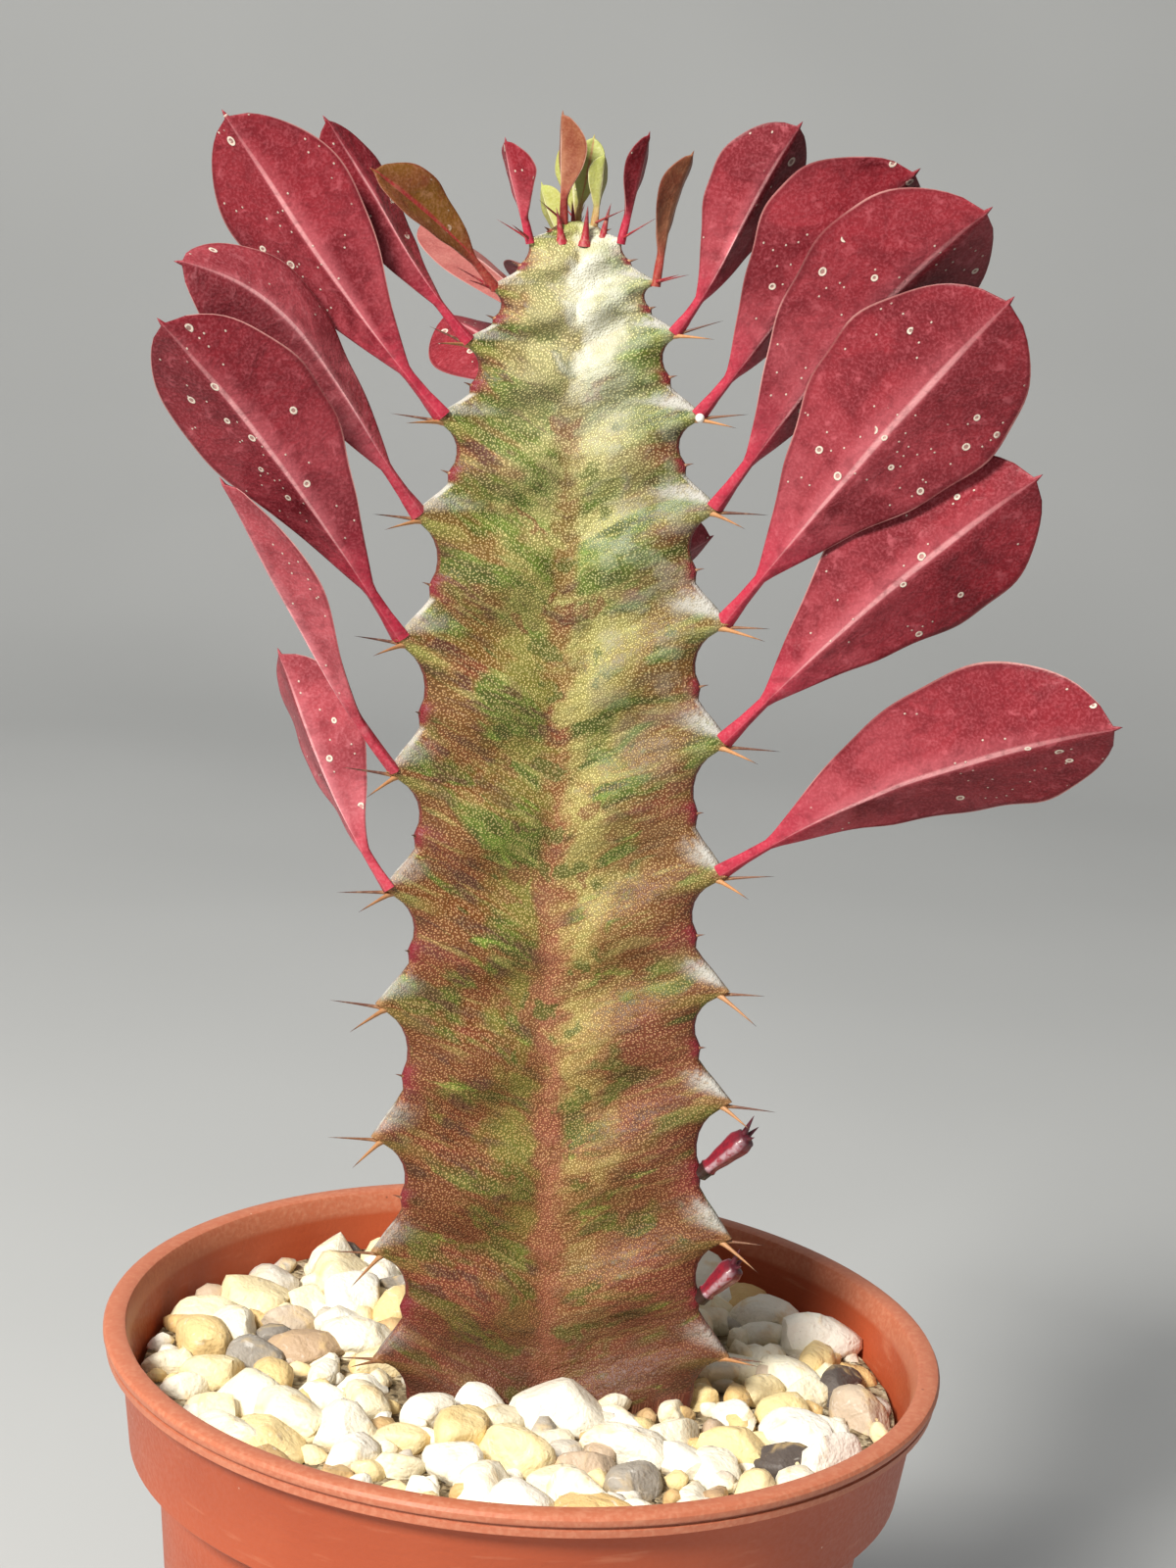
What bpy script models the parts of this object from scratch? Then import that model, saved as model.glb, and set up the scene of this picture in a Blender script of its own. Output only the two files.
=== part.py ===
"""A red African milk tree: a three-angled succulent column with spined teeth and
burgundy leaves, rooted in soil under pale gravel in a round plastic pot.

Metres, +Z up. The origin is the middle of the pot's underside. One broad face of
the column looks to the front, -Y. Its toothed ribs stand at the right (+X), at
the left and at the back. Directions are headings in degrees, counted from +X
towards +Y, and rises in degrees above level.
"""

import math
import random
from collections import namedtuple

import bmesh
import bpy
from mathutils import Matrix, Vector

# Clearance kept between touching pieces
GAP = 0.0004

# Pot
POT_HEIGHT = 0.115
RIM_RADIUS = 0.065
RIM_BAND = 0.0035
RIM_MOUTH_RADIUS = 0.0614
RIM_BEVEL = 0.0006
COLLAR_RADIUS = 0.0622
SHOULDER_HEIGHT = 0.0945
SHOULDER_RADIUS = 0.0602
SHOULDER_SLOPE = 0.0012
BODY_RADIUS = 0.0558
FOOT_RADIUS = 0.0466
FOOT_BEVEL = 0.001
WALL = 0.0015
CHANNEL_INNER_RADIUS = 0.0265
CHANNEL_OUTER_RADIUS = 0.0405
CHANNEL_DEPTH = 0.0022
CHANNEL_SLOPE = 0.0015
DRAIN_HOLES = 8
DRAIN_HOLE_RADIUS = 0.003
POT_SEGMENTS = 48

# Soil and gravel
SOIL_TOP = 0.0955
BED_TOP = 0.1055
BED_INSET = 0.0015
BED_FLARE = 0.0009
PEBBLES = 130
PEBBLE_FIELD_RADIUS = 0.0565
PEBBLE_SIZES = (0.0036, 0.0064)
PEBBLE_FLATNESS = (0.55, 0.8)
PEBBLE_CLEARANCE = 0.3
PEBBLE_LIFT = 0.25
PEBBLE_SEED = 11

# Column: heights are counted from the gravel's surface, the teeth's in millimetres
GRAVEL_LEVEL = 0.1085
COLUMN_X = 0.004
COLUMN_Y = 0.004
COLUMN_HEIGHT = 0.1785
CROWN_SINK = 0.0024
COLUMN_LEAN = -0.0087
COLUMN_BOW = -0.0015
MARGIN_RADIUS = 0.0255
WAIST = 0.0014
WAIST_HEIGHT = 0.082
WAIST_SPAN = 0.028
VALLEY_SHARE = 0.42
TOOTH_REACH = 0.006
RIDGE_DROP = 0.006
RIDGE_RELIEF = 0.0007
RIDGE_PHASE = 0.35
FLANK_SWELL = 0.0006
MID_FLANK_SHARE = 0.45
CREST_ROUNDING = 0.0011
CREST_HALF_WIDTH = 0.0014
SLIM_CROWN_RADIUS = 0.012
CROWN_FULLNESS = 0.2
ROOT_TOP_DEPTH = 0.012
ROOT_DEPTH = 0.042
ROOT_RADIUS = 0.018
# Share of the root's depth, how wide it is there, and how round
ROOT_OUTLINE = ((0.3, 0.85, 0.15), (0.62, 0.6, 0.5), (0.88, 0.36, 0.9))
BURIED_STEP = 0.016

RIB_HEADINGS = {"right": -26.0, "back": 94.0, "left": 214.0}
TOOTH_HEIGHTS = {
    "right": (8, 27, 48.5, 65.5, 83, 103, 120.5, 137, 150, 161.5, 168.5, 174.9, 177.8),
    "back": (13, 31, 49.5, 68.5, 87, 106, 124.5, 140.5, 153, 163, 169.5, 175, 177.8),
    "left": (5, 22, 40, 60.5, 78, 95.5, 115, 133, 147, 158, 166, 173.7, 177.8),
}
# The margin's outline below a tooth's tip: share of the way to the next tip, share of its reach
TOOTH_OUTLINE = (
    (0.0, 1.0),
    (0.07, 0.68),
    (0.16, 0.32),
    (0.30, 0.06),
    (0.46, 0.02),
    (0.57, 0.16),
    (0.68, 0.10),
    (0.84, 0.55),
)
LAST_PHASE = 0.4

# Spines, a pair on each tooth
SPINE_LENGTH = 0.0048
SPINE_RADIUS = 0.00042
SPINE_SPREAD = 24.0
SPINE_ROOTING = 0.0006
CROWN_SPINE_LIFT = 28.0
SPINE_SEED = 5

# Leaves
STALK_RADIUS = 0.00105
BLADE_THICKNESS = 0.0009
EDGE_THICKNESS = 0.0007
KEEL_DEPTH = 0.0005
FULL_LEAF_LENGTH = 0.05
MIDRIB_PULL = 0.38
BLADE_START = 0.08
BROADEST_POWER = 1.83
BLUNTNESS = 0.58
SEAT_HEIGHT = 0.0012
LEAF_STATIONS = (0.0, 0.07, 0.15, 0.24, 0.34, 0.45, 0.57, 0.69, 0.80, 0.89, 0.955)

# Length and width; the heading and rise of the line from foot to tip; the rises with which the
# midrib starts and ends; the heading that the keel faces; how far the keel is rolled downwards; how
# far each half is folded back; the colour
Leaf = namedtuple("Leaf", "length width heading rise start finish facing roll fold colour")

FRONT = -90.0

# Each rib's leaves, by the number of the tooth that carries them, counted from the gravel
LEAVES = {
    "right": {
        4: Leaf(0.0622, 0.0262, -24, 28, 38, 18, FRONT, 16, 22, "burgundy"),
        5: Leaf(0.0578, 0.0262, -15, 46, 50, 40, FRONT, 6, 18, "burgundy"),
        6: Leaf(0.0622, 0.0283, -34, 51, 53, 48, FRONT, 2, 12, "burgundy"),
        7: Leaf(0.0560, 0.0262, -25, 51, 57, 41, FRONT, 24, 20, "burgundy"),
        8: Leaf(0.0445, 0.0236, -20, 52, 54, 44, FRONT, 28, 22, "burgundy"),
        9: Leaf(0.0325, 0.0150, -18, 63, 56, 57, FRONT, 20, 26, "burgundy"),
        10: Leaf(0.0178, 0.0078, -20, 78, 86, 70, FRONT, 62, 18, "bronze"),
        11: Leaf(0.0144, 0.0064, -20, 79, 80, 80, FRONT, 62, 16, "burgundy"),
        12: Leaf(0.0092, 0.0042, -20, 86, 86, 84, FRONT, 46, 20, "pale_green"),
    },
    "back": {
        4: Leaf(0.0540, 0.0240, 84, 24, 44, 14, 0, 66, 20, "burgundy"),
        5: Leaf(0.0420, 0.0180, 48, 25, 46, 22, FRONT, 40, 18, "burgundy"),
        6: Leaf(0.0480, 0.0215, 96, 16, 40, 4, 180, 70, 18, "burgundy"),
        7: Leaf(0.0378, 0.0180, 127, 27, 48, 14, FRONT, -50, 18, "burgundy"),
        8: Leaf(0.0405, 0.0112, 134, 28, 44, 18, FRONT, -62, 18, "burgundy"),
        9: Leaf(0.0320, 0.0134, 102, 0, 26, -12, 180, 84, 14, "burgundy"),
        10: Leaf(0.0130, 0.0060, 138, 56, 56, 64, 236, 20, 18, "pale_green"),
        11: Leaf(0.0132, 0.0058, 150, 82, 82, 82, FRONT, 10, 14, "pale_green"),
        12: Leaf(0.0118, 0.0048, 50, 79, 78, 82, FRONT, 180, 16, "pale_green"),
    },
    "left": {
        4: Leaf(0.0365, 0.0164, 170, 61, 52, 64, FRONT, 36, 30, "burgundy"),
        5: Leaf(0.0480, 0.0148, 203, 56, 50, 56, FRONT, 64, 26, "burgundy"),
        6: Leaf(0.0566, 0.0225, 210, 48, 52, 42, FRONT, 16, 18, "burgundy"),
        7: Leaf(0.0488, 0.0186, 208, 41.5, 48, 8, FRONT, -32, 28, "burgundy"),
        8: Leaf(0.0498, 0.0199, 195, 50, 46, 52, FRONT, 14, 12, "burgundy"),
        9: Leaf(0.0350, 0.0114, 190, 53, 46, 52, FRONT, -35, 26, "burgundy"),
        10: Leaf(0.0232, 0.0100, 205, 37, 46, 32, FRONT, 134, 24, "bronze"),
        11: Leaf(0.0134, 0.0088, 200, 71, 72, 76, FRONT, 58, 20, "burgundy"),
        12: Leaf(0.0144, 0.0082, 188, 85, 86, 84, FRONT, 58, 24, "bronze"),
    },
}

# Side shoots, sprouting from the right rib below these teeth: length, heading, rise
SHOOTS = {"upper": (2, 0.0085, -10, 46), "lower": (1, 0.0070, -10, 50)}
SHOOT_RADIUS = 0.0019
SHOOT_SEAT = 0.0009
# Place on the rib's outline, as in TOOTH_OUTLINE
SHOOT_FOOT = (0.57, 0.16)
# Share of the length, share of the radius
SHOOT_OUTLINE = ((0.0, 0.55), (0.12, 0.66), (0.45, 0.82), (0.78, 1.0), (0.95, 0.9))
# Each leaflet's spread and lift in degrees, and its length as a share of the shoot's
LEAFLETS = ((-14, 22, 0.55), (26, -4, 0.42), (-34, -14, 0.36))
LEAFLET_RADIUS = 0.0008

# Colours, roughness
COLOURS = {
    "terracotta": ((0.56, 0.17, 0.08), 0.5),
    "soil": ((0.06, 0.035, 0.02), 0.95),
    "gravel": ((0.72, 0.64, 0.48), 0.7),
    "column_green": ((0.20, 0.22, 0.08), 0.55),
    "burgundy": ((0.30, 0.03, 0.06), 0.45),
    "bronze": ((0.28, 0.16, 0.05), 0.45),
    "pale_green": ((0.42, 0.50, 0.20), 0.5),
    "shoot_red": ((0.26, 0.03, 0.06), 0.45),
}


def clear_scene():
    for obj in list(bpy.data.objects):
        bpy.data.objects.remove(obj, do_unlink=True)


def material(name):
    found = bpy.data.materials.get(name)
    if found:
        return found
    colour, roughness = COLOURS[name]
    made = bpy.data.materials.new(name)
    made.use_nodes = True
    shader = made.node_tree.nodes["Principled BSDF"]
    shader.inputs["Base Color"].default_value = (*colour, 1.0)
    shader.inputs["Roughness"].default_value = roughness
    shader.inputs["Metallic"].default_value = 0.0
    return made


def direction(heading, rise):
    """The unit vector of a heading and a rise in degrees."""
    level = math.cos(math.radians(rise))
    return Vector(
        (
            level * math.cos(math.radians(heading)),
            level * math.sin(math.radians(heading)),
            math.sin(math.radians(rise)),
        )
    )


def blend(low, high, share):
    return low + (high - low) * share


def add_object(name, bm, colour, smooth_angle=None):
    """A new object from bmesh data, with its faces turned outwards."""
    bmesh.ops.recalc_face_normals(bm, faces=bm.faces)
    mesh = bpy.data.meshes.new(name)
    bm.to_mesh(mesh)
    bm.free()
    obj = bpy.data.objects.new(name, mesh)
    bpy.context.scene.collection.objects.link(obj)
    obj.data.materials.append(material(colour))
    if smooth_angle is not None:
        mesh.shade_smooth()
        mesh.set_sharp_from_angle(angle=math.radians(smooth_angle))
    return obj


def loft(bm, rings, start_tip=None, end_tip=None):
    """Skins a row of equal rings. Each end is closed by a tip, or else by its own flat ring."""
    loops = [[bm.verts.new(point) for point in ring] for ring in rings]
    for lower, upper in zip(loops, loops[1:]):
        for i, corner in enumerate(lower):
            j = (i + 1) % len(lower)
            bm.faces.new((corner, lower[j], upper[j], upper[i]))
    for loop, tip in ((loops[0], start_tip), (loops[-1], end_tip)):
        if tip is None:
            bm.faces.new(loop)
            continue
        peak = bm.verts.new(tip)
        for i, corner in enumerate(loop):
            bm.faces.new((corner, loop[(i + 1) % len(loop)], peak))


def turned(profile, segments):
    """A profile of (radius, height) points, from axis to axis, turned round Z."""
    bm = bmesh.new()
    verts = [bm.verts.new((radius, 0.0, height)) for radius, height in profile]
    edges = [bm.edges.new(pair) for pair in zip(verts, verts[1:])]
    bmesh.ops.spin(
        bm,
        geom=verts + edges,
        cent=(0, 0, 0),
        axis=(0, 0, 1),
        angle=2 * math.pi,
        steps=segments,
        use_merge=True,
    )
    bmesh.ops.remove_doubles(bm, verts=bm.verts, dist=1e-6)
    return bm


def apply_modifiers(obj):
    with bpy.context.temp_override(object=obj, active_object=obj, selected_objects=[obj]):
        for modifier in list(obj.modifiers):
            bpy.ops.object.modifier_apply(modifier=modifier.name)


def cut(obj, cutter, solver="EXACT"):
    """Takes the cutter's shape out of the object and keeps the cutter as a hidden guide."""
    cutter.hide_render = True
    cutter.display_type = "WIRE"
    modifier = obj.modifiers.new("Cut", "BOOLEAN")
    modifier.operation = "DIFFERENCE"
    modifier.solver = solver
    modifier.object = cutter


def fuse(obj, pieces):
    """Joins many small solids to the object and removes them."""
    group = bpy.data.collections.new(obj.name + "_pieces")
    bpy.context.scene.collection.children.link(group)
    for piece in pieces:
        bpy.context.scene.collection.objects.unlink(piece)
        group.objects.link(piece)
    modifier = obj.modifiers.new("Fuse", "BOOLEAN")
    modifier.operation = "UNION"
    modifier.solver = "MANIFOLD"
    modifier.operand_type = "COLLECTION"
    modifier.collection = group
    apply_modifiers(obj)
    for piece in pieces:
        bpy.data.objects.remove(piece, do_unlink=True)
    bpy.data.collections.remove(group)


def ring_of(centre, turn, radii):
    """Points round a centre, one for each radius, in the plane across the turn's own Z."""
    ring = []
    for i, radius in enumerate(radii):
        angle = 2 * math.pi * i / len(radii)
        ring.append(centre + turn @ Vector((radius * math.cos(angle), radius * math.sin(angle), 0)))
    return ring


def spike(name, root, tip, radius, sides, colour):
    """A slim pointed solid from root to tip."""
    bm = bmesh.new()
    turn = (tip - root).to_track_quat("Z", "Y").to_matrix()
    loft(bm, [ring_of(root, turn, [radius] * sides)], end_tip=tip)
    return add_object(name, bm, colour)


def pot_profile():
    """From the middle of the underside, up the outside, over the rim and down the inside."""
    rim_foot = POT_HEIGHT - RIM_BAND
    outside = [
        (0.0, 0.0),
        (CHANNEL_INNER_RADIUS - CHANNEL_SLOPE, 0.0),
        (CHANNEL_INNER_RADIUS, CHANNEL_DEPTH),
        (CHANNEL_OUTER_RADIUS, CHANNEL_DEPTH),
        (CHANNEL_OUTER_RADIUS + CHANNEL_SLOPE, 0.0),
        (FOOT_RADIUS - FOOT_BEVEL, 0.0),
        (FOOT_RADIUS, FOOT_BEVEL),
        (BODY_RADIUS, SHOULDER_HEIGHT),
        (SHOULDER_RADIUS, SHOULDER_HEIGHT + SHOULDER_SLOPE),
        (COLLAR_RADIUS, rim_foot - RIM_BEVEL),
        (RIM_RADIUS - RIM_BEVEL, rim_foot),
        (RIM_RADIUS, rim_foot + RIM_BEVEL),
        (RIM_RADIUS, POT_HEIGHT - RIM_BEVEL),
        (RIM_RADIUS - RIM_BEVEL, POT_HEIGHT),
    ]
    ledge = SHOULDER_HEIGHT + WALL
    inside = [
        (RIM_MOUTH_RADIUS + RIM_BEVEL, POT_HEIGHT),
        (RIM_MOUTH_RADIUS, POT_HEIGHT - RIM_BEVEL),
        (COLLAR_RADIUS - WALL, rim_foot),
        (SHOULDER_RADIUS - WALL, ledge + SHOULDER_SLOPE),
        (BODY_RADIUS - WALL, ledge),
        (FOOT_RADIUS - WALL, CHANNEL_DEPTH + WALL),
        (CHANNEL_INNER_RADIUS - WALL, CHANNEL_DEPTH + WALL),
        (CHANNEL_INNER_RADIUS - CHANNEL_SLOPE - WALL, WALL),
        (0.0, WALL),
    ]
    return outside + inside


def add_pot():
    pot = add_object("pot", turned(pot_profile(), POT_SEGMENTS), "terracotta", smooth_angle=40)
    holes = bmesh.new()
    ring_radius = (CHANNEL_INNER_RADIUS + CHANNEL_OUTER_RADIUS) / 2
    for i in range(DRAIN_HOLES):
        angle = 2 * math.pi * (i + 0.5) / DRAIN_HOLES
        x, y = ring_radius * math.cos(angle), ring_radius * math.sin(angle)
        bmesh.ops.create_cone(
            holes,
            cap_ends=True,
            segments=10,
            radius1=DRAIN_HOLE_RADIUS,
            radius2=DRAIN_HOLE_RADIUS,
            depth=3 * WALL,
            matrix=Matrix.Translation((x, y, CHANNEL_DEPTH)),
        )
    cut(pot, add_object("drain_hole_cutter", holes, "terracotta"))
    return pot


def column_axis(height):
    """The point on the column's middle line at this height above the gravel."""
    share = height / COLUMN_HEIGHT
    x = COLUMN_X + COLUMN_LEAN * share + COLUMN_BOW * math.sin(math.pi * share)
    sink = CROWN_SINK * max(0.0, share) ** 50
    return Vector((x, COLUMN_Y, GRAVEL_LEVEL + height - sink))


def margin_radius(height):
    """How far the notches between the teeth stand from the axis."""
    share = max(0.0, height / COLUMN_HEIGHT)
    waist = WAIST * math.exp(-(((height - WAIST_HEIGHT) / WAIST_SPAN) ** 2))
    return MARGIN_RADIUS * (1 - share**4) ** 0.6 - waist


def tooth_reach(height):
    share = max(0.0, height / COLUMN_HEIGHT)
    return TOOTH_REACH * (1 - share**10) ** 0.7


def tooth_height(rib, tooth):
    """A tooth's height above the gravel. Below the lowest one the outline runs on into the root."""
    heights = TOOTH_HEIGHTS[rib]
    return heights[tooth] / 1000 if tooth >= 0 else heights[0] / 1000 - BURIED_STEP


def rib_section(rib, height, phase, tooth_share, grow):
    """Five points across one rib: mid flank, shoulder, crest, shoulder, mid flank."""
    margin = margin_radius(height)
    crest = margin + tooth_reach(height) * tooth_share
    size = min(1.0, margin / SLIM_CROWN_RADIUS)
    valley = valley_radius(height)
    shoulder = Vector((crest - CREST_ROUNDING * size, CREST_HALF_WIDTH * size))
    foot = Vector((valley * math.cos(math.pi / 3), valley * math.sin(math.pi / 3)))
    mid = Vector((margin - CREST_ROUNDING * size, CREST_HALF_WIDTH * size)).lerp(foot, MID_FLANK_SHARE)
    mid.y += (FLANK_SWELL + RIDGE_RELIEF * math.cos(2 * math.pi * (phase - RIDGE_PHASE))) * size
    ahead = direction(RIB_HEADINGS[rib], 0)
    across = Vector((-ahead.y, ahead.x, 0))
    drop = Vector((0, 0, -MID_FLANK_SHARE * ridge_drop(height)))
    centre = column_axis(height)
    points = []
    wider = Vector((0.6 * grow, grow))
    for flat, side, lowered in (
        (mid + wider, -1, drop),
        (shoulder + wider, -1, Vector()),
        (Vector((crest + grow, 0.0)), 1, Vector()),
        (shoulder + wider, 1, Vector()),
        (mid + wider, 1, drop),
    ):
        points.append(centre + ahead * flat.x + across * flat.y * side + lowered)
    return points


def valley_radius(height):
    """The faces are hollow all the way up, and fuller at the crown."""
    share = max(0.0, height / COLUMN_HEIGHT)
    return margin_radius(height) * (VALLEY_SHARE + CROWN_FULLNESS * share**6)


def ridge_drop(height):
    """How far a tooth's ridge has sunk by the middle of the face."""
    return RIDGE_DROP * (1 - max(0.0, height / COLUMN_HEIGHT) ** 4)


def valley_point(rib, next_rib, heights, grow):
    """The middle of the face between two ribs, where its ridges meet at their lowest."""
    height = (heights[rib] + heights[next_rib]) / 2
    out = direction(RIB_HEADINGS[rib] + 60, 0)
    return column_axis(height) + out * (valley_radius(height) + grow) - Vector((0, 0, ridge_drop(height)))


def column_rows(grow):
    """Rings from the crown down to the gravel. A ring meets each rib at the same place of its outline."""
    ribs = list(RIB_HEADINGS)
    teeth = len(TOOTH_HEIGHTS["right"])
    rows = []
    for tooth in range(teeth - 1, -1, -1):
        for phase, tooth_share in TOOTH_OUTLINE:
            heights = {}
            for rib in ribs:
                heights[rib] = blend(tooth_height(rib, tooth), tooth_height(rib, tooth - 1), phase)
            row = []
            for i, rib in enumerate(ribs):
                row += rib_section(rib, heights[rib], phase, tooth_share, grow)
                row.append(valley_point(rib, ribs[(i + 1) % 3], heights, grow))
            rows.append(row)
            if tooth == 0 and phase > LAST_PHASE:
                return rows
    return rows


def root_rows(last_row, grow):
    """The buried foot: the ribs sink into a blunt round root."""
    rows = []
    for depth, spread, roundness in ROOT_OUTLINE:
        height = -blend(ROOT_TOP_DEPTH, ROOT_DEPTH, depth) - grow
        centre = column_axis(height)
        row = []
        for point in last_row:
            out = Vector((point.x - COLUMN_X, point.y - COLUMN_Y, 0))
            reach = blend(out.length, ROOT_RADIUS, roundness) * spread
            row.append(centre + out.normalized() * (reach + grow))
        rows.append(row)
    return rows


def column_mesh(grow=0.0):
    """The whole column as one skin, swollen by the given amount."""
    bm = bmesh.new()
    rows = column_rows(grow)
    rows += root_rows(rows[-1], grow)
    crown = column_axis(COLUMN_HEIGHT + grow)
    root = column_axis(-ROOT_DEPTH - 2 * grow)
    loft(bm, rows, start_tip=crown, end_tip=root)
    return bm


def crest_point(rib, tooth, phase=0.0, tooth_share=1.0):
    """A point on a rib's crest, some way down from the tip of a tooth."""
    height = blend(tooth_height(rib, tooth), tooth_height(rib, tooth - 1), phase)
    radius = margin_radius(height) + tooth_reach(height) * tooth_share
    return column_axis(height) + direction(RIB_HEADINGS[rib], 0) * radius


def spines():
    """A pair of spines below the tip of each tooth, spread to both sides."""
    draw = random.Random(SPINE_SEED)
    made = []
    for rib, heights in TOOTH_HEIGHTS.items():
        for tooth in range(len(heights)):
            young = tooth_height(rib, tooth) / COLUMN_HEIGHT
            size = 1 - 0.4 * young**8
            root = crest_point(rib, tooth, 0.04, 0.8) - direction(RIB_HEADINGS[rib], 0) * SPINE_ROOTING
            for side in (-1, 1):
                spread = side * SPINE_SPREAD + draw.uniform(-5, 5)
                rise = draw.uniform(-24, -8) + CROWN_SPINE_LIFT * young**8
                if tooth == 0:
                    rise = draw.uniform(0, 12)
                reach = SPINE_LENGTH * size * draw.uniform(0.85, 1.15)
                tip = root + direction(RIB_HEADINGS[rib] + spread, rise) * reach
                made.append(spike("spine", root, tip, SPINE_RADIUS * size, 3, "column_green"))
    return made


def add_column():
    column = add_object("column", column_mesh(), "column_green", smooth_angle=35)
    fuse(column, spines())
    return column


def add_soil(column_cutter):
    top_radius = BODY_RADIUS - WALL - GAP
    floor = CHANNEL_DEPTH + WALL + GAP
    profile = [(0.0, floor), (FOOT_RADIUS - WALL - GAP, floor), (top_radius, SOIL_TOP), (0.0, SOIL_TOP)]
    soil = add_object("soil", turned(profile, 32), "soil")
    cut(soil, column_cutter)
    return soil


def column_reach(x, y):
    """How far the column's skin stands from its axis at gravel level, towards this place."""
    heading = math.degrees(math.atan2(y - COLUMN_Y, x - COLUMN_X))
    apart = min(abs((heading - rib + 180) % 360 - 180) for rib in RIB_HEADINGS.values())
    turn = math.radians(min(apart, 60))
    crest = MARGIN_RADIUS + TOOTH_REACH
    valley = MARGIN_RADIUS * VALLEY_SHARE
    slope = (1 / valley - math.cos(math.radians(60)) / crest) / math.sin(math.radians(60))
    return 1 / (math.cos(turn) / crest + slope * math.sin(turn))


def pebbles():
    """Where each pebble lies, its half length, its flatness and its turn: a sunflower pattern, shaken."""
    draw = random.Random(PEBBLE_SEED)
    golden = math.pi * (3 - math.sqrt(5))
    places = []
    for i in range(PEBBLES):
        reach = PEBBLE_FIELD_RADIUS * math.sqrt((i + 0.5) / PEBBLES) * draw.uniform(0.97, 1.03)
        angle = golden * i + draw.uniform(-0.05, 0.05)
        size = blend(*PEBBLE_SIZES, draw.random() ** 1.6)
        flatness = blend(*PEBBLE_FLATNESS, draw.random())
        spin = draw.uniform(0, math.pi)
        lean = draw.uniform(-0.3, 0.3)
        reach = min(reach, SHOULDER_RADIUS - WALL - size)
        x, y = reach * math.cos(angle), reach * math.sin(angle)
        apart = math.hypot(x - COLUMN_X, y - COLUMN_Y) - column_reach(x, y)
        if apart > PEBBLE_CLEARANCE * size:
            places.append((x, y, size, flatness, spin, lean))
    return places


def add_gravel(column_cutter):
    """One bed of gravel, with the pebbles of its surface standing out of it."""
    ledge = SHOULDER_HEIGHT + WALL
    wide = SHOULDER_RADIUS - WALL - GAP
    profile = [
        (0.0, SOIL_TOP + GAP),
        (BODY_RADIUS - WALL - BED_INSET, ledge),
        (wide, ledge + SHOULDER_SLOPE + BED_INSET),
        (wide + BED_FLARE, BED_TOP),
        (0.0, BED_TOP),
    ]
    gravel = add_object("gravel", turned(profile, 32), "gravel")
    stones = []
    for x, y, size, flatness, spin, lean in pebbles():
        bm = bmesh.new()
        bmesh.ops.create_icosphere(bm, subdivisions=1, radius=1.0)
        shape = Matrix.Diagonal((size, size * 0.78, size * flatness, 1.0))
        turn = Matrix.Rotation(spin, 4, "Z") @ Matrix.Rotation(lean, 4, "X")
        place = Matrix.Translation((x, y, BED_TOP + PEBBLE_LIFT * size * flatness))
        bmesh.ops.transform(bm, matrix=place @ turn @ shape, verts=bm.verts)
        stones.append(add_object("pebble", bm, "gravel"))
    fuse(gravel, stones)
    cut(gravel, column_cutter, solver="MANIFOLD")
    return gravel


def smooth_step(low, high, value):
    share = min(1.0, max(0.0, (value - low) / (high - low)))
    return share * share * (3 - 2 * share)


def leaf_size(leaf):
    """The thickness of a leaf and its stalk, as a share of a full-grown one's."""
    return min(1.0, (leaf.length / FULL_LEAF_LENGTH) ** 0.5)


def blade_half_width(leaf, station):
    """A slim stalk that widens into a paddle, broadest at two thirds, with a blunt round end."""
    stalk = STALK_RADIUS * leaf_size(leaf) * (1 - 0.2 * smooth_step(0.0, 0.12, station))
    along = (station - BLADE_START) / (1 - BLADE_START)
    if along <= 0:
        return stalk
    blade = leaf.width / 2 * math.sin(math.pi * min(1.0, along) ** BROADEST_POWER) ** BLUNTNESS
    return max(stalk * (1 - smooth_step(0.6, 1.0, station)), blade)


def midrib(leaf, base, station):
    """The point and the direction of the leaf's middle line: a curve from start to finish."""
    end = base + direction(leaf.heading, leaf.rise) * leaf.length
    first = base + direction(leaf.heading, leaf.start) * leaf.length * MIDRIB_PULL
    second = end - direction(leaf.heading, leaf.finish) * leaf.length * MIDRIB_PULL
    t = station
    s = 1 - t
    point = base * s**3 + first * 3 * s * s * t + second * 3 * s * t * t + end * t**3
    slope = (first - base) * s * s + (second - first) * 2 * s * t + (end - second) * t * t
    return point, slope.normalized()


def leaf_ring(leaf, base, station):
    """Six points round the leaf: edge, groove and edge on its upper side, and back along its keel."""
    point, along = midrib(leaf, base, station)
    chord = direction(leaf.heading, leaf.rise)
    facing = direction(leaf.facing, 0)
    keel = (facing - along * facing.dot(along)).normalized()
    level_keel = (facing - chord * facing.dot(chord)).normalized()
    sink = -1 if chord.cross(level_keel).z > 0 else 1
    lower = along.cross(keel) * sink
    turn = math.radians(leaf.roll)
    keel = keel * math.cos(turn) + lower * math.sin(turn)
    across = along.cross(keel)
    half = blade_half_width(leaf, station)
    size = leaf_size(leaf)
    stalkiness = 1 - smooth_step(0.05, 0.4, station)
    thick = blend(BLADE_THICKNESS, 1.7 * STALK_RADIUS, stalkiness) * max(size, 0.75)
    edge = min(thick, blend(EDGE_THICKNESS, STALK_RADIUS, stalkiness))
    fold = math.radians(leaf.fold) * smooth_step(0.05, 0.35, station)
    spread = across * half * math.cos(fold)
    raised = keel * -half * math.sin(fold)
    near, far = point - spread + raised, point + spread + raised
    return [
        near - keel * edge / 2,
        point - keel * thick / 2,
        far - keel * edge / 2,
        far + keel * edge / 2,
        point + keel * (thick / 2 + KEEL_DEPTH * size),
        near + keel * edge / 2,
    ]


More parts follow.
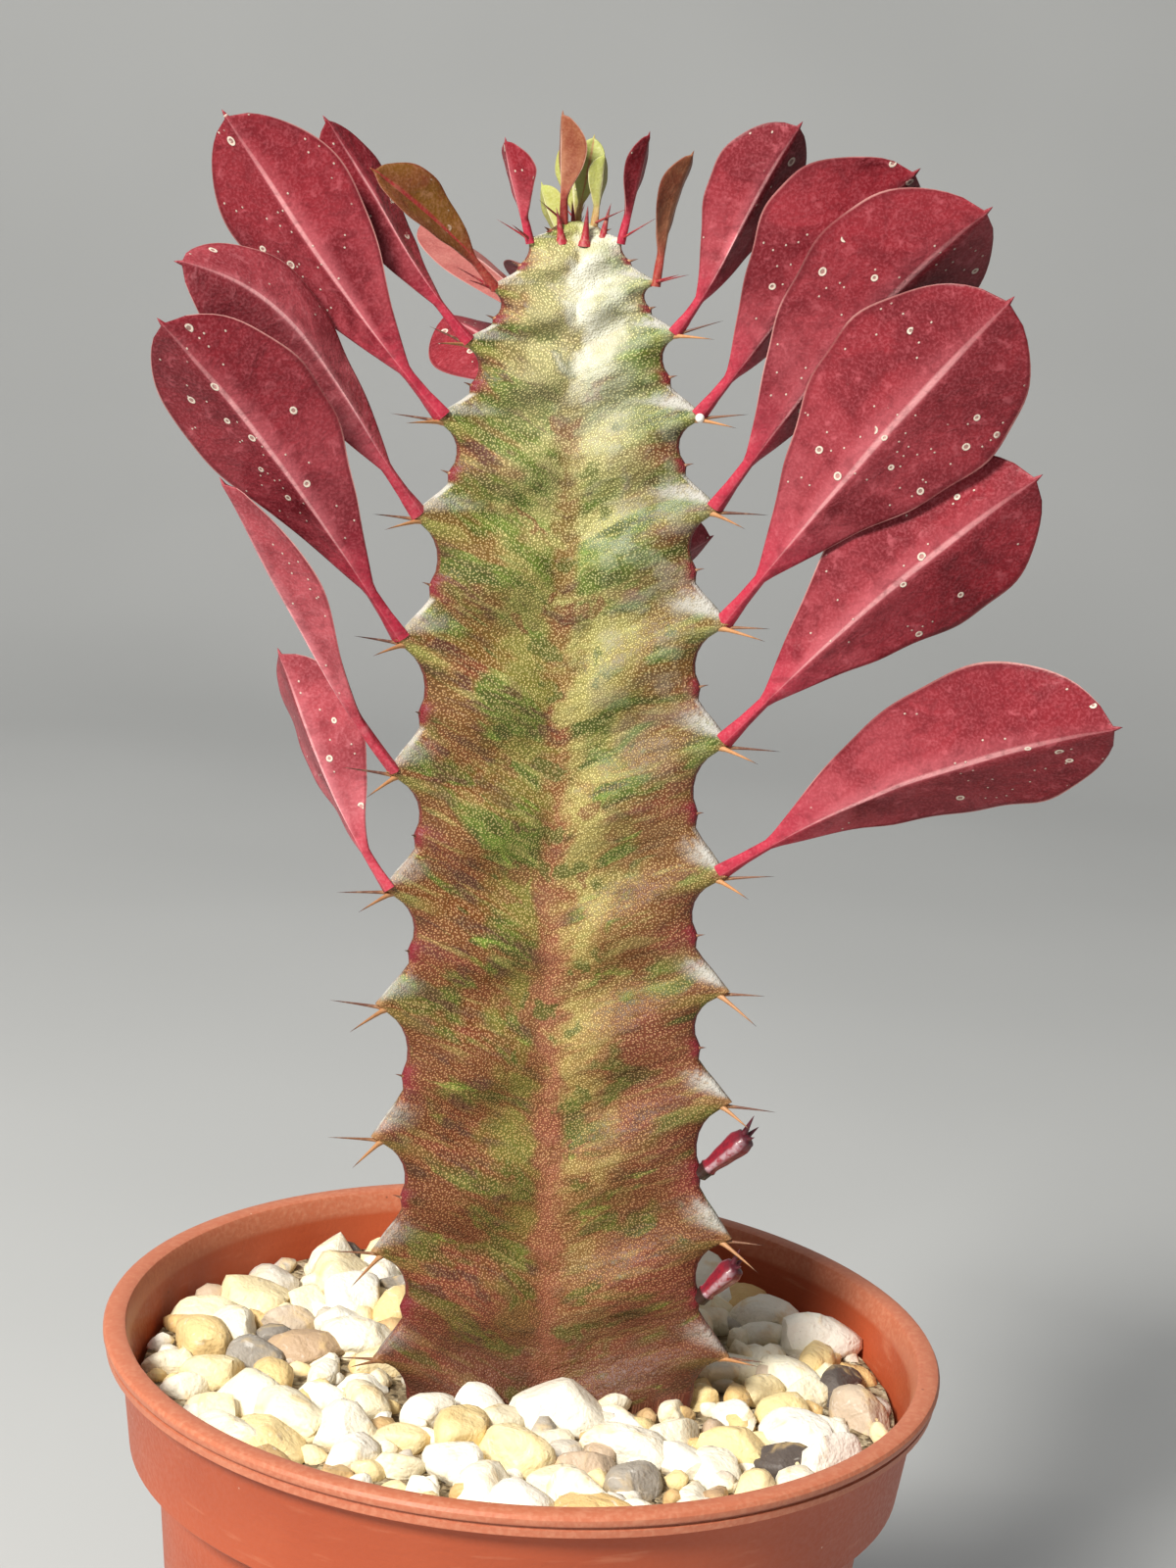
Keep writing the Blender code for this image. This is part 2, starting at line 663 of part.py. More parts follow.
def add_leaf(name, leaf, base):
    bm = bmesh.new()
    rings = [leaf_ring(leaf, base, station) for station in LEAF_STATIONS]
    tip, _ = midrib(leaf, base, 1.0)
    loft(bm, rings, end_tip=tip)
    return add_object(name, bm, leaf.colour, smooth_angle=50)


def leaf_seat(rib, tooth, leaf):
    """The foot of the stalk, just above the tip of its tooth."""
    lift = SEAT_HEIGHT * leaf_size(leaf) + 0.0001
    return crest_point(rib, tooth) + Vector((0, 0, lift)) - direction(RIB_HEADINGS[rib], 0) * 0.15 * lift


def add_leaves():
    for rib, carried in LEAVES.items():
        for tooth, leaf in carried.items():
            add_leaf(f"leaf_{rib}_{tooth:02d}", leaf, leaf_seat(rib, tooth, leaf))


def add_shoot(name, tooth, length, heading, rise):
    """A bud of the side shoot: a short swelling stem that ends in pointed first leaves."""
    along = direction(heading, rise)
    base = crest_point("right", tooth, *SHOOT_FOOT) + along * SHOOT_SEAT
    turn = along.to_track_quat("Z", "Y").to_matrix()
    rings = []
    for station, swell in SHOOT_OUTLINE:
        ribbed = [SHOOT_RADIUS * swell * share for share in (0.88, 1.12) * 3]
        rings.append(ring_of(base + along * length * station, turn, ribbed))
    bm = bmesh.new()
    loft(bm, rings, end_tip=base + along * length * 1.05)
    shoot = add_object(name, bm, "shoot_red", smooth_angle=40)
    leaflets = []
    for spread, lift, reach in LEAFLETS:
        root = base + along * length * 0.8
        tip = root + direction(heading + spread, rise + lift) * length * reach
        leaflets.append(spike("leaflet", root, tip, LEAFLET_RADIUS, 4, "shoot_red"))
    fuse(shoot, leaflets)


def add_shoots():
    for name, (tooth, length, heading, rise) in SHOOTS.items():
        add_shoot(f"shoot_{name}", tooth, length, heading, rise)


def main():
    clear_scene()
    add_pot()
    column_cutter = add_object("column_cutter", column_mesh(1.5 * GAP), "column_green")
    add_soil(column_cutter)
    add_gravel(column_cutter)
    add_column()
    add_leaves()
    add_shoots()


main()
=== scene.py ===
"""Looks of the potted red milk tree: skin, spines, leaves, shoots, gravel, pot and soil."""

import math
import random
from collections import namedtuple

import bpy
from mathutils import Euler, Matrix, Vector, noise


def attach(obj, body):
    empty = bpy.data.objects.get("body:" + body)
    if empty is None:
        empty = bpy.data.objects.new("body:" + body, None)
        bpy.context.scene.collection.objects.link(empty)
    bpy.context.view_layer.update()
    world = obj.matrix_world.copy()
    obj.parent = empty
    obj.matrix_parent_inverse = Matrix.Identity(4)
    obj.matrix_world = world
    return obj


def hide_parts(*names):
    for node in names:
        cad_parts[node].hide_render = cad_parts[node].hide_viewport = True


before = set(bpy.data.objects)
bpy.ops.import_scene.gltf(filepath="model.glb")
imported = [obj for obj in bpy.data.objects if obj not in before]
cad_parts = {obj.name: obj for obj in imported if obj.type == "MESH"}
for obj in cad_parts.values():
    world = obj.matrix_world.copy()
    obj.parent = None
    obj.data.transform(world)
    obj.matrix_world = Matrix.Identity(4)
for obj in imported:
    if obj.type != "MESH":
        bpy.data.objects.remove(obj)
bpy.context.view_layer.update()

# The growth rules below are those of the solids, with more points along and across, and with
# stronger ridges on the flanks and longer spines, as in the photograph.

GRAVEL_LEVEL = 0.1085
BED_TOP = 0.1055
COLUMN_X = 0.004
COLUMN_Y = 0.004
COLUMN_HEIGHT = 0.1785
CROWN_SINK = 0.0024
COLUMN_LEAN = -0.0087
COLUMN_BOW = -0.0015
MARGIN_RADIUS = 0.0255
WAIST = 0.0014
WAIST_HEIGHT = 0.082
WAIST_SPAN = 0.028
VALLEY_SHARE = 0.42
CROWN_FULLNESS = 0.2
TOOTH_REACH = 0.006
RIDGE_DROP = 0.006
RIDGE_RELIEF = 0.0016
RIDGE_PHASE = 0.35
FLANK_SWELL = 0.0006
MID_FLANK_SHARE = 0.45
CREST_ROUNDING = 0.0011
CREST_HALF_WIDTH = 0.0014
CREST_NARROWING = 0.35
SLIM_CROWN_RADIUS = 0.012
SKIN_POWER = 1.35
FINE_WRINKLE = (240, 0.00016)
BROAD_WRINKLE = (75, 0.0004)
CORKY_WRINKLE = (420, 0.0004)
CORKY_HEIGHTS = (0.135, 0.112)
ROOT_TOP_DEPTH = 0.012
ROOT_DEPTH = 0.042
ROOT_RADIUS = 0.018
ROOT_OUTLINE = ((0.3, 0.85, 0.15), (0.62, 0.6, 0.5), (0.88, 0.36, 0.9), (1.0, 0.0, 1.0))
BURIED_STEP = 0.016
RIB_HEADINGS = {"right": -26.0, "back": 94.0, "left": 214.0}
COS_60 = 0.5
SIN_60 = 0.866
GOLDEN_ANGLE = math.pi * (3 - math.sqrt(5))
TOOTH_HEIGHTS = {
    "right": (8, 27, 48.5, 65.5, 83, 103, 120.5, 137, 150, 161.5, 168.5, 174.9, 177.8),
    "back": (13, 31, 49.5, 68.5, 87, 106, 124.5, 140.5, 153, 163, 169.5, 175, 177.8),
    "left": (5, 22, 40, 60.5, 78, 95.5, 115, 133, 147, 158, 166, 173.7, 177.8),
}
TOOTH_OUTLINE = (
    (0.0, 1.0),
    (0.07, 0.68),
    (0.16, 0.32),
    (0.30, 0.06),
    (0.46, 0.02),
    (0.57, 0.16),
    (0.68, 0.10),
    (0.84, 0.55),
    (1.0, 1.0),
)
SPINE_LENGTH = 0.0072
TOP_SPINE_LENGTH = 0.0088
SPINE_RADIUS = 0.00042
SPINE_SPREAD = 19.0
SPINE_ROOTING = 0.0006
SPINE_PLACE = (0.04, 0.8)
CROWN_SPINE_LIFT = 28.0
FRONT_SPINE_RISES = (-25, -4)
BACK_SPINE_RISES = (2, 6)
FIRST_RED_TOOTH = 10
CRIMSON_TONE = 2.0
KNUCKLE_PLACE = (0.57, 0.16)
PRICKLE_LENGTH = 0.0016
PRICKLE_RADIUS = 0.00024
PRICKLE_ROOTING = 0.0003
SPINE_SEED = 5
SPINE_TONE_SEED = 21

STALK_RADIUS = 0.00105
BLADE_THICKNESS = 0.0009
KEEL_DEPTH = 0.0005
FULL_LEAF_LENGTH = 0.05
MIDRIB_PULL = 0.38
BLADE_START = 0.08
BROADEST_POWER = 1.83
BLUNTNESS = 0.58
SEAT_HEIGHT = 0.0012
LEAF_ROOTING = 0.0014
BLADE_EDGE = 0.00028
KEEL_WIDTH = 0.0008
VEIN_GROOVE = 0.0003
LEAF_SWING = 0.0007
LEAF_UNEVENNESS = (95, 0.0004)
LEAF_SEED = 100
FRONT = -90.0

Leaf = namedtuple("Leaf", "length width heading rise start finish facing roll fold colour")
LEAVES = {
    "right": {
        4: Leaf(0.0622, 0.0262, -24, 28, 38, 18, FRONT, 16, 22, "burgundy"),
        5: Leaf(0.0578, 0.0262, -15, 46, 50, 40, FRONT, 6, 18, "burgundy"),
        6: Leaf(0.0622, 0.0283, -34, 51, 53, 48, FRONT, 2, 12, "burgundy"),
        7: Leaf(0.0560, 0.0262, -25, 51, 57, 41, FRONT, 24, 20, "burgundy"),
        8: Leaf(0.0445, 0.0236, -20, 52, 54, 44, FRONT, 28, 22, "burgundy"),
        9: Leaf(0.0325, 0.0150, -18, 63, 56, 57, FRONT, 20, 26, "burgundy"),
        10: Leaf(0.0178, 0.0078, -20, 78, 86, 70, FRONT, 62, 18, "bronze"),
        11: Leaf(0.0144, 0.0064, -20, 79, 80, 80, FRONT, 62, 16, "burgundy"),
        12: Leaf(0.0092, 0.0042, -20, 86, 86, 84, FRONT, 46, 20, "pale_green"),
    },
    "back": {
        4: Leaf(0.0540, 0.0240, 84, 24, 44, 14, 0, 66, 20, "burgundy"),
        5: Leaf(0.0420, 0.0180, 48, 25, 46, 22, FRONT, 40, 18, "burgundy"),
        6: Leaf(0.0480, 0.0215, 96, 16, 40, 4, 180, 70, 18, "burgundy"),
        7: Leaf(0.0378, 0.0180, 127, 27, 48, 14, FRONT, -50, 18, "burgundy"),
        8: Leaf(0.0405, 0.0112, 134, 28, 44, 18, FRONT, -62, 18, "burgundy"),
        9: Leaf(0.0320, 0.0134, 102, 0, 26, -12, 180, 84, 14, "burgundy"),
        10: Leaf(0.0130, 0.0060, 138, 56, 56, 64, 236, 20, 18, "pale_green"),
        11: Leaf(0.0132, 0.0058, 150, 82, 82, 82, FRONT, 10, 14, "pale_green"),
        12: Leaf(0.0118, 0.0048, 50, 79, 78, 82, FRONT, 180, 16, "pale_green"),
    },
    "left": {
        4: Leaf(0.0365, 0.0164, 170, 61, 52, 64, FRONT, 36, 30, "burgundy"),
        5: Leaf(0.0480, 0.0148, 203, 56, 50, 56, FRONT, 64, 26, "burgundy"),
        6: Leaf(0.0566, 0.0225, 210, 48, 52, 42, FRONT, 16, 18, "burgundy"),
        7: Leaf(0.0488, 0.0186, 208, 41.5, 48, 8, FRONT, -32, 28, "burgundy"),
        8: Leaf(0.0498, 0.0199, 195, 50, 46, 52, FRONT, 14, 12, "burgundy"),
        9: Leaf(0.0350, 0.0114, 190, 53, 46, 52, FRONT, -35, 26, "burgundy"),
        10: Leaf(0.0232, 0.0100, 205, 37, 46, 32, FRONT, 134, 24, "bronze"),
        11: Leaf(0.0134, 0.0088, 200, 71, 72, 76, FRONT, 58, 20, "burgundy"),
        12: Leaf(0.0144, 0.0082, 188, 85, 86, 84, FRONT, 58, 24, "bronze"),
    },
}


def blend(low, high, share):
    return low + (high - low) * share


def smooth_step(low, high, value):
    share = min(1.0, max(0.0, (value - low) / (high - low)))
    return share * share * (3 - 2 * share)


def direction(heading, rise):
    level = math.cos(math.radians(rise))
    turn = math.radians(heading)
    return Vector((level * math.cos(turn), level * math.sin(turn), math.sin(math.radians(rise))))


# Modelling helpers


def deselect():
    bpy.ops.object.select_all(action="DESELECT")


def pick(piece):
    deselect()
    piece.select_set(True)
    bpy.context.view_layer.objects.active = piece


def name_piece(piece, name):
    piece.name = name
    piece.data.name = name
    return piece


def start_sheet(name, across, along):
    """A flat sheet of faces, one unit wide and one unit long."""
    deselect()
    bpy.ops.mesh.primitive_grid_add(x_subdivisions=across, y_subdivisions=along, size=1)
    return name_piece(bpy.context.object, name)


def shape(piece, place, marks=()):
    """Moves each corner to the place its two shares across and along give, and keeps its marks."""
    values = {mark: [] for mark in marks}
    for corner in piece.data.vertices:
        point, *found = place(corner.co.x + 0.5, corner.co.y + 0.5)
        corner.co = point
        for mark, value in zip(marks, found):
            values[mark].append(value)
    for mark in marks:
        layer = piece.data.attributes.new(mark, "FLOAT", "POINT")
        layer.data.foreach_set("value", values[mark])


def close_seams(piece, reach=1e-6):
    pick(piece)
    bpy.ops.object.mode_set(mode="EDIT")
    bpy.ops.mesh.select_all(action="SELECT")
    bpy.ops.mesh.remove_doubles(threshold=reach)
    bpy.ops.mesh.normals_make_consistent(inside=False)
    bpy.ops.object.mode_set(mode="OBJECT")


def smooth(piece, angle=40):
    pick(piece)
    bpy.ops.object.shade_smooth_by_angle(angle=math.radians(angle))


def join(pieces, name):
    deselect()
    for piece in pieces:
        piece.select_set(True)
    bpy.context.view_layer.objects.active = pieces[0]
    bpy.ops.object.join()
    return name_piece(bpy.context.object, name)


def copies(master, placed, name, mark=None):
    """One copy of the master at each place, with its own mesh and mark, joined. The master goes."""
    made = []
    for place, value in placed:
        mesh = master.data.copy()
        mesh.transform(place)
        if mark:
            layer = mesh.attributes.new(mark, "FLOAT", "POINT")
            layer.data.foreach_set("value", [value] * len(mesh.vertices))
        piece = bpy.data.objects.new(name, mesh)
        bpy.context.scene.collection.objects.link(piece)
        made.append(piece)
    bpy.data.objects.remove(master, do_unlink=True)
    return join(made, name)


def dress(piece, finish, slot, *nodes):
    """Gives a finished piece its finish, hangs it under the root body, and hides the nodes that it stands
    for.
    """
    piece.data.materials.clear()
    piece.data.materials.append(finish)
    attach(piece, "root")
    if nodes:
        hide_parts(*nodes)
    return piece


# Finishes


class Finish:
    """A material, with its nodes added one by one."""

    def __init__(self, name, **sockets):
        self.material = bpy.data.materials.new(name)
        self.material.use_nodes = True
        self.tree = self.material.node_tree
        self.shader = self.tree.nodes["Principled BSDF"]
        self.shader.inputs["Metallic"].default_value = 0.0
        for socket, value in sockets.items():
            self.shader.inputs[socket.replace("_", " ")].default_value = value
        self.coords = self.tree.nodes.new("ShaderNodeTexCoord").outputs["Object"]

    def put(self, socket, value):
        if isinstance(value, bpy.types.NodeSocket):
            self.tree.links.new(value, socket)
        elif isinstance(value, (tuple, list)) and len(value) == 3 and socket.type == "RGBA":
            socket.default_value = (*value, 1.0)
        else:
            socket.default_value = value

    def math(self, operation, first, second=0.0, third=0.0):
        node = self.tree.nodes.new("ShaderNodeMath")
        node.operation = operation
        for socket, value in zip(node.inputs, (first, second, third)):
            self.put(socket, value)
        return node.outputs[0]

    def step(self, value, low, high, start=0.0, end=1.0):
        """From start to end, smoothly, while the value goes from low to high."""
        node = self.tree.nodes.new("ShaderNodeMapRange")
        node.interpolation_type = "SMOOTHSTEP"
        if low > high:
            low, high, start, end = high, low, end, start
        for socket, number in zip(node.inputs, (value, low, high, start, end)):
            self.put(socket, number)
        return node.outputs[0]

    def times(self, *values):
        found = values[0]
        for value in values[1:]:
            found = self.math("MULTIPLY", found, value)
        return found

    def mix(self, share, first, second, way="MIX"):
        node = self.tree.nodes.new("ShaderNodeMix")
        node.data_type = "RGBA"
        node.blend_type = way
        node.clamp_factor = True
        self.put(node.inputs["Factor"], share)
        self.put(node.inputs["A"], first)
        self.put(node.inputs["B"], second)
        return node.outputs["Result"]

    def ramp(self, value, stops):
        node = self.tree.nodes.new("ShaderNodeValToRGB")
        bar = node.color_ramp
        while len(bar.elements) < len(stops):
            bar.elements.new(0.5)
        for element, (position, colour) in zip(bar.elements, stops):
            element.position = position
            element.color = (*colour, 1.0)
        self.put(node.inputs[0], value)
        return node.outputs[0]

    def attribute(self, name):
        node = self.tree.nodes.new("ShaderNodeAttribute")
        node.attribute_name = name
        return node.outputs["Fac"]

    def split(self, vector):
        node = self.tree.nodes.new("ShaderNodeSeparateXYZ")
        self.put(node.inputs[0], vector)
        return node.outputs

    def gather(self, x, y, z):
        node = self.tree.nodes.new("ShaderNodeCombineXYZ")
        for socket, value in zip(node.inputs, (x, y, z)):
            self.put(socket, value)
        return node.outputs[0]

    def sheet(self):
        """The piece's own flat layout, in metres."""
        return self.tree.nodes.new("ShaderNodeUVMap").outputs["UV"]

    def noise(self, scale, detail=2.0, vector=None, distortion=0.0):
        node = self.tree.nodes.new("ShaderNodeTexNoise")
        self.put(node.inputs["Vector"], vector or self.coords)
        node.inputs["Scale"].default_value = scale
        node.inputs["Detail"].default_value = detail
        node.inputs["Distortion"].default_value = distortion
        return node.outputs["Fac"]

    def cells(self, scale, vector=None, flat=False):
        node = self.tree.nodes.new("ShaderNodeTexVoronoi")
        if flat:
            node.voronoi_dimensions = "2D"
        self.put(node.inputs["Vector"], vector or self.coords)
        node.inputs["Scale"].default_value = scale
        return node.outputs

    def colour(self, value):
        self.put(self.shader.inputs["Base Color"], value)

    def roughness(self, value):
        self.put(self.shader.inputs["Roughness"], value)

    def bump(self, *layers):
        """Layers of height in metres, each (height from 0 to 1, depth)."""
        normal = None
        for height, depth in layers:
            node = self.tree.nodes.new("ShaderNodeBump")
            node.inputs["Strength"].default_value = 1.0
            node.inputs["Distance"].default_value = depth
            self.put(node.inputs["Height"], height)
            if normal:
                self.put(node.inputs["Normal"], normal)
            normal = node.outputs[0]
        self.put(self.shader.inputs["Normal"], normal)


# The skin's tones. Those in a table go from the gravel, 0, to the crown, 1.

GROUND_TONES = (
    (0.0, (0.130, 0.040, 0.020)),
    (0.16, (0.164, 0.055, 0.020)),
    (0.40, (0.180, 0.066, 0.018)),
    (0.62, (0.180, 0.095, 0.020)),
    (0.85, (0.180, 0.140, 0.040)),
    (1.0, (0.27, 0.225, 0.080)),
)
PALE_BAND_TONES = (
    (0.0, (0.26, 0.165, 0.050)),
    (0.30, (0.31, 0.245, 0.068)),
    (0.62, (0.33, 0.32, 0.095)),
    (0.86, (0.38, 0.37, 0.155)),
    (1.0, (0.42, 0.40, 0.19)),
)
SHADED_LEFT = (0.80, 0.70, 0.62)
RUST = (0.200, 0.046, 0.026)
PATCH_DARK, PATCH_LIGHT = (0.050, 0.078, 0.010), (0.125, 0.20, 0.026)
PATCH_LOW = (0.095, 0.060, 0.014)
SPRIG_DARK, SPRIG_LIGHT = (0.055, 0.075, 0.012), (0.17, 0.26, 0.035)
SMUDGE = (0.085, 0.032, 0.020)
FIBRE_DARK, FIBRE_PALE = (0.075, 0.040, 0.018), (0.30, 0.27, 0.080)
LEFT_BAND = (0.165, 0.175, 0.030)
MILKY_GREEN = (0.31, 0.285, 0.14)
MIDDLE_LINE = (0.26, 0.088, 0.046)
SPOT_GREEN, SPOT_BROWN = (0.070, 0.090, 0.013), (0.16, 0.060, 0.022)
FLUSH = (0.25, 0.040, 0.036)
UNDER_TOOTH = (0.26, 0.27, 0.06)
GOLD_LOW, GOLD_HIGH = (0.66, 0.39, 0.19), (0.80, 0.72, 0.38)
GOLD_PALE, GOLD_LEFT = (0.76, 0.72, 0.36), (0.62, 0.40, 0.18)
CROWN_TOP = (0.42, 0.44, 0.12)
CROWN_WAX_AND_HIGHLIGHT = (0.72, 0.71, 0.60)
THIN_WAX_AND_SHEEN = (0.46, 0.49, 0.42)
LEE_SHADE, BAY_SHADE = (0.76, 0.78, 0.76), (0.62, 0.42, 0.42)
TOOTH_WAX = (0.47, 0.455, 0.415)
CREST_RED = (0.17, 0.024, 0.024)
CREST_SILVER = (0.72, 0.70, 0.66)
KNUCKLE_RED = (0.20, 0.016, 0.026)
TIP_CORK = (0.36, 0.19, 0.080)
FOOT_CORK = (0.125, 0.048, 0.032)


def skin_finish():
    """Olive skin with golden stipple, slanting green and red patches, pale middles, white wax,
    painted highlights and sheen, and painted shade.

    Across, s is the distance from a face's middle line and z is the height, both in metres.
    Growth counts the teeth: its phase is 0 at one tooth and 1 at the next below.
    """
    f = Finish("milk_tree_skin", Specular_IOR_Level=0.3)
    run = f.attribute("growth")
    across = f.attribute("across")
    phase = f.math("FRACT", run)
    s, z, _ = f.split(f.sheet())
    aside = f.math("ABSOLUTE", s)
    rising = f.math("MULTIPLY_ADD", aside, -0.45, z)
    slanted = f.gather(f.math("MULTIPLY", s, 0.45), rising, 0.0)
    other = f.gather(f.math("MULTIPLY_ADD", s, 0.38, 3.0), rising, 0.0)
    patches = f.noise(165, 3.0, slanted, 0.5)
    clouds = f.noise(120, 3.0, other, 0.5)
    streaks = f.noise(430, 3.0, slanted, 0.4)
    blotches = f.noise(230, 3.0)
    fine = f.noise(1100, 2.0)
    ragged = f.math("MULTIPLY_ADD", f.math("SUBTRACT", clouds, 0.5), 0.05, z)
    drift = f.math("MULTIPLY_ADD", f.math("SUBTRACT", blotches, 0.5), 0.016, s)

    # ground tone by height, darker on the left half
    rise = f.math("MULTIPLY", f.math("SUBTRACT", ragged, 0.11), 5.6)
    ground = f.ramp(rise, GROUND_TONES)
    ground = f.mix(f.times(f.step(s, 0.008, -0.008), 0.7), ground, SHADED_LEFT, "MULTIPLY")
    ground = f.mix(f.times(f.step(clouds, 0.50, 0.62), 0.7), ground, RUST)

    # green patches, small sprigs, dark smudges and fibres, all slanting to the middle line
    leafy = f.mix(f.step(streaks, 0.36, 0.64), PATCH_DARK, PATCH_LIGHT)
    leafy = f.mix(f.times(f.step(z, 0.20, 0.14), 0.45), leafy, PATCH_LOW)
    leafiness = f.step(f.math("ADD", patches, f.step(z, 0.17, 0.25, -0.03, 0.065)), 0.50, 0.60)
    ground = f.mix(f.times(leafiness, f.step(aside, 0.0010, 0.0030), 0.9), ground, leafy)
    sprigs = f.noise(330, 3.0, other, 0.8)
    sprig = f.times(f.step(sprigs, 0.60, 0.70), f.step(aside, 0.0015, 0.0035), f.step(clouds, 0.60, 0.46))
    sprig_tone = f.mix(f.step(patches, 0.45, 0.55), SPRIG_DARK, SPRIG_LIGHT)
    ground = f.mix(f.times(sprig, 0.85), ground, sprig_tone)
    smudge = f.times(f.step(streaks, 0.52, 0.64), f.step(clouds, 0.36, 0.52))
    smudge = f.times(smudge, f.step(s, 0.012, -0.004, 0.35, 0.85))
    ground = f.mix(smudge, ground, SMUDGE)
    fibres = f.noise(520, 3.0, f.gather(f.math("MULTIPLY", s, 0.22), rising, 7.0), 0.3)
    ground = f.mix(f.times(f.step(fibres, 0.54, 0.66), 0.5), ground, FIBRE_DARK)
    pale_fibres = f.times(f.step(fibres, 0.45, 0.33), f.step(z, 0.13, 0.2, 0.25, 0.5))
    ground = f.mix(pale_fibres, ground, FIBRE_PALE)

    # the pale bands on both sides of the middle, and the red line between them; the right band, on the
    # flank that faces the lamp, is brighter than the greener left one: its own pale tone and painted light
    gaps = f.step(patches, 0.60, 0.46)
    pale = f.times(f.step(drift, -0.001, 0.0035), f.step(drift, 0.0135, 0.0050), gaps)
    left_pale = f.times(f.step(drift, 0.0, -0.003), f.step(drift, -0.0115, -0.0055), gaps)
    pale_tone = f.ramp(f.math("MULTIPLY", f.math("SUBTRACT", z, 0.11), 5.6), PALE_BAND_TONES)
    left_tone = f.mix(f.step(z, 0.21, 0.26), LEFT_BAND, pale_tone)
    rooted = f.step(ragged, 0.105, 0.145)
    ground = f.mix(f.times(pale, rooted, 0.7), ground, pale_tone)
    ground = f.mix(f.times(left_pale, rooted, 0.72), ground, left_tone)
    milky = f.times(f.step(ragged, 0.240, 0.272), f.step(across, 0.22, 0.60))
    ground = f.mix(f.times(milky, 0.55), ground, MILKY_GREEN)
    calm = f.math("ABSOLUTE", f.math("MULTIPLY_ADD", f.math("SUBTRACT", blotches, 0.5), 0.006, s))
    line = f.times(f.step(calm, 0.0036, 0.0), f.step(ragged, 0.225, 0.17))
    ground = f.mix(f.times(line, f.step(streaks, 0.30, 0.56, 0.4, 0.85)), ground, MIDDLE_LINE)

    # loose spots near the middle
    warped = f.gather(drift, f.math("MULTIPLY_ADD", streaks, 0.004, rising), 0.0)
    spots = f.cells(190, warped, flat=True)
    chance, kind, _ = f.split(spots["Color"])
    spot = f.times(f.step(spots["Distance"], 0.36, 0.20), f.step(chance, 0.60, 0.62))
    spot = f.times(spot, f.step(aside, 0.011, 0.006), f.step(z, 0.275, 0.262))
    spot = f.times(spot, f.step(fine, 0.2, 0.6, 0.6, 1.0))
    ground = f.mix(f.times(spot, 0.8), ground, f.mix(f.step(kind, 0.5, 0.6), SPOT_GREEN, SPOT_BROWN))

    # crimson between the teeth, yellow-green under them
    flush = f.times(f.step(phase, 0.40, 0.52), f.step(phase, 0.86, 0.66), f.step(across, 0.62, 0.08))
    flush = f.times(flush, f.step(clouds, 0.36, 0.56), f.step(z, 0.262, 0.225))
    flush = f.times(flush, f.step(s, -0.01, 0.01, 0.5, 1.0))
    ground = f.mix(f.times(flush, 0.7), ground, FLUSH)
    under = f.times(f.step(phase, 0.0, 0.03), f.step(phase, 0.22, 0.09), f.step(across, 0.40, 0.10))
    ground = f.mix(f.times(under, f.step(z, 0.14, 0.24, 0.3, 0.75)), ground, UNDER_TOOTH)

    # the golden stipple, about .4 mm from dot to dot
    stipple = f.cells(2500, f.gather(s, z, 0.0), flat=True)["Distance"]
    wobble = f.math("MULTIPLY_ADD", fine, 0.22, stipple)
    golden = f.mix(f.step(ragged, 0.12, 0.265), GOLD_LOW, GOLD_HIGH)
    golden = f.mix(f.times(pale, 0.6), golden, GOLD_PALE)
    golden = f.mix(f.times(f.step(s, 0.006, -0.008), 0.4), golden, GOLD_LEFT)
    bright = f.mix(1.0, ground, (2.7, 2.7, 2.7), "MULTIPLY")
    strength = f.times(f.step(ragged, 0.105, 0.14, 0.4, 0.88), f.step(streaks, 0.7, 0.4, 0.6, 1.0))
    skin = f.mix(f.times(f.step(wobble, 0.46, 0.30), strength), ground, f.mix(0.5, golden, bright))

    # wax with a painted highlight on the crown; thinner wax with a painted sheen on the upper right
    # half, which faces the lamp; painted shade on the outer right flank and in the bays between the teeth
    frost_and_sheen = f.step(f.math("MULTIPLY_ADD", streaks, 0.5, blotches), 0.68, 0.92)
    top = f.step(f.math("MULTIPLY_ADD", blotches, 0.01, z), 0.2835, 0.2895)
    skin = f.mix(f.times(top, f.step(across, 0.1, 0.3), 0.7), skin, CROWN_TOP)
    # a whitish streak below the crown: wax with a painted highlight on it
    crown = f.times(f.step(z, 0.250, 0.272), f.step(z, 0.2875, 0.282))
    crown = f.times(crown, f.step(drift, -0.0025, 0.0022), f.step(drift, 0.0105, 0.0022))
    skin = f.mix(f.times(crown, f.step(streaks, 0.30, 0.56, 0.35, 0.85)), skin, CROWN_WAX_AND_HIGHLIGHT)
    # thin whitish streaks on the right half: wax with a painted sheen on it
    sheet = f.times(f.step(s, 0.0, 0.008), f.step(z, 0.185, 0.25), f.step(z, 0.286, 0.278), frost_and_sheen)
    skin = f.mix(f.times(sheet, 0.27), skin, THIN_WAX_AND_SHEEN)
    lee = f.times(f.step(s, 0.003, 0.013), f.step(z, 0.285, 0.25))
    skin = f.mix(f.times(lee, 0.8), skin, LEE_SHADE, "MULTIPLY")
    bay = f.times(f.step(across, 0.30, 0.04), f.step(phase, 0.10, 0.30), f.step(phase, 0.80, 0.55))
    skin = f.mix(f.times(bay, 0.55), skin, BAY_SHADE, "MULTIPLY")

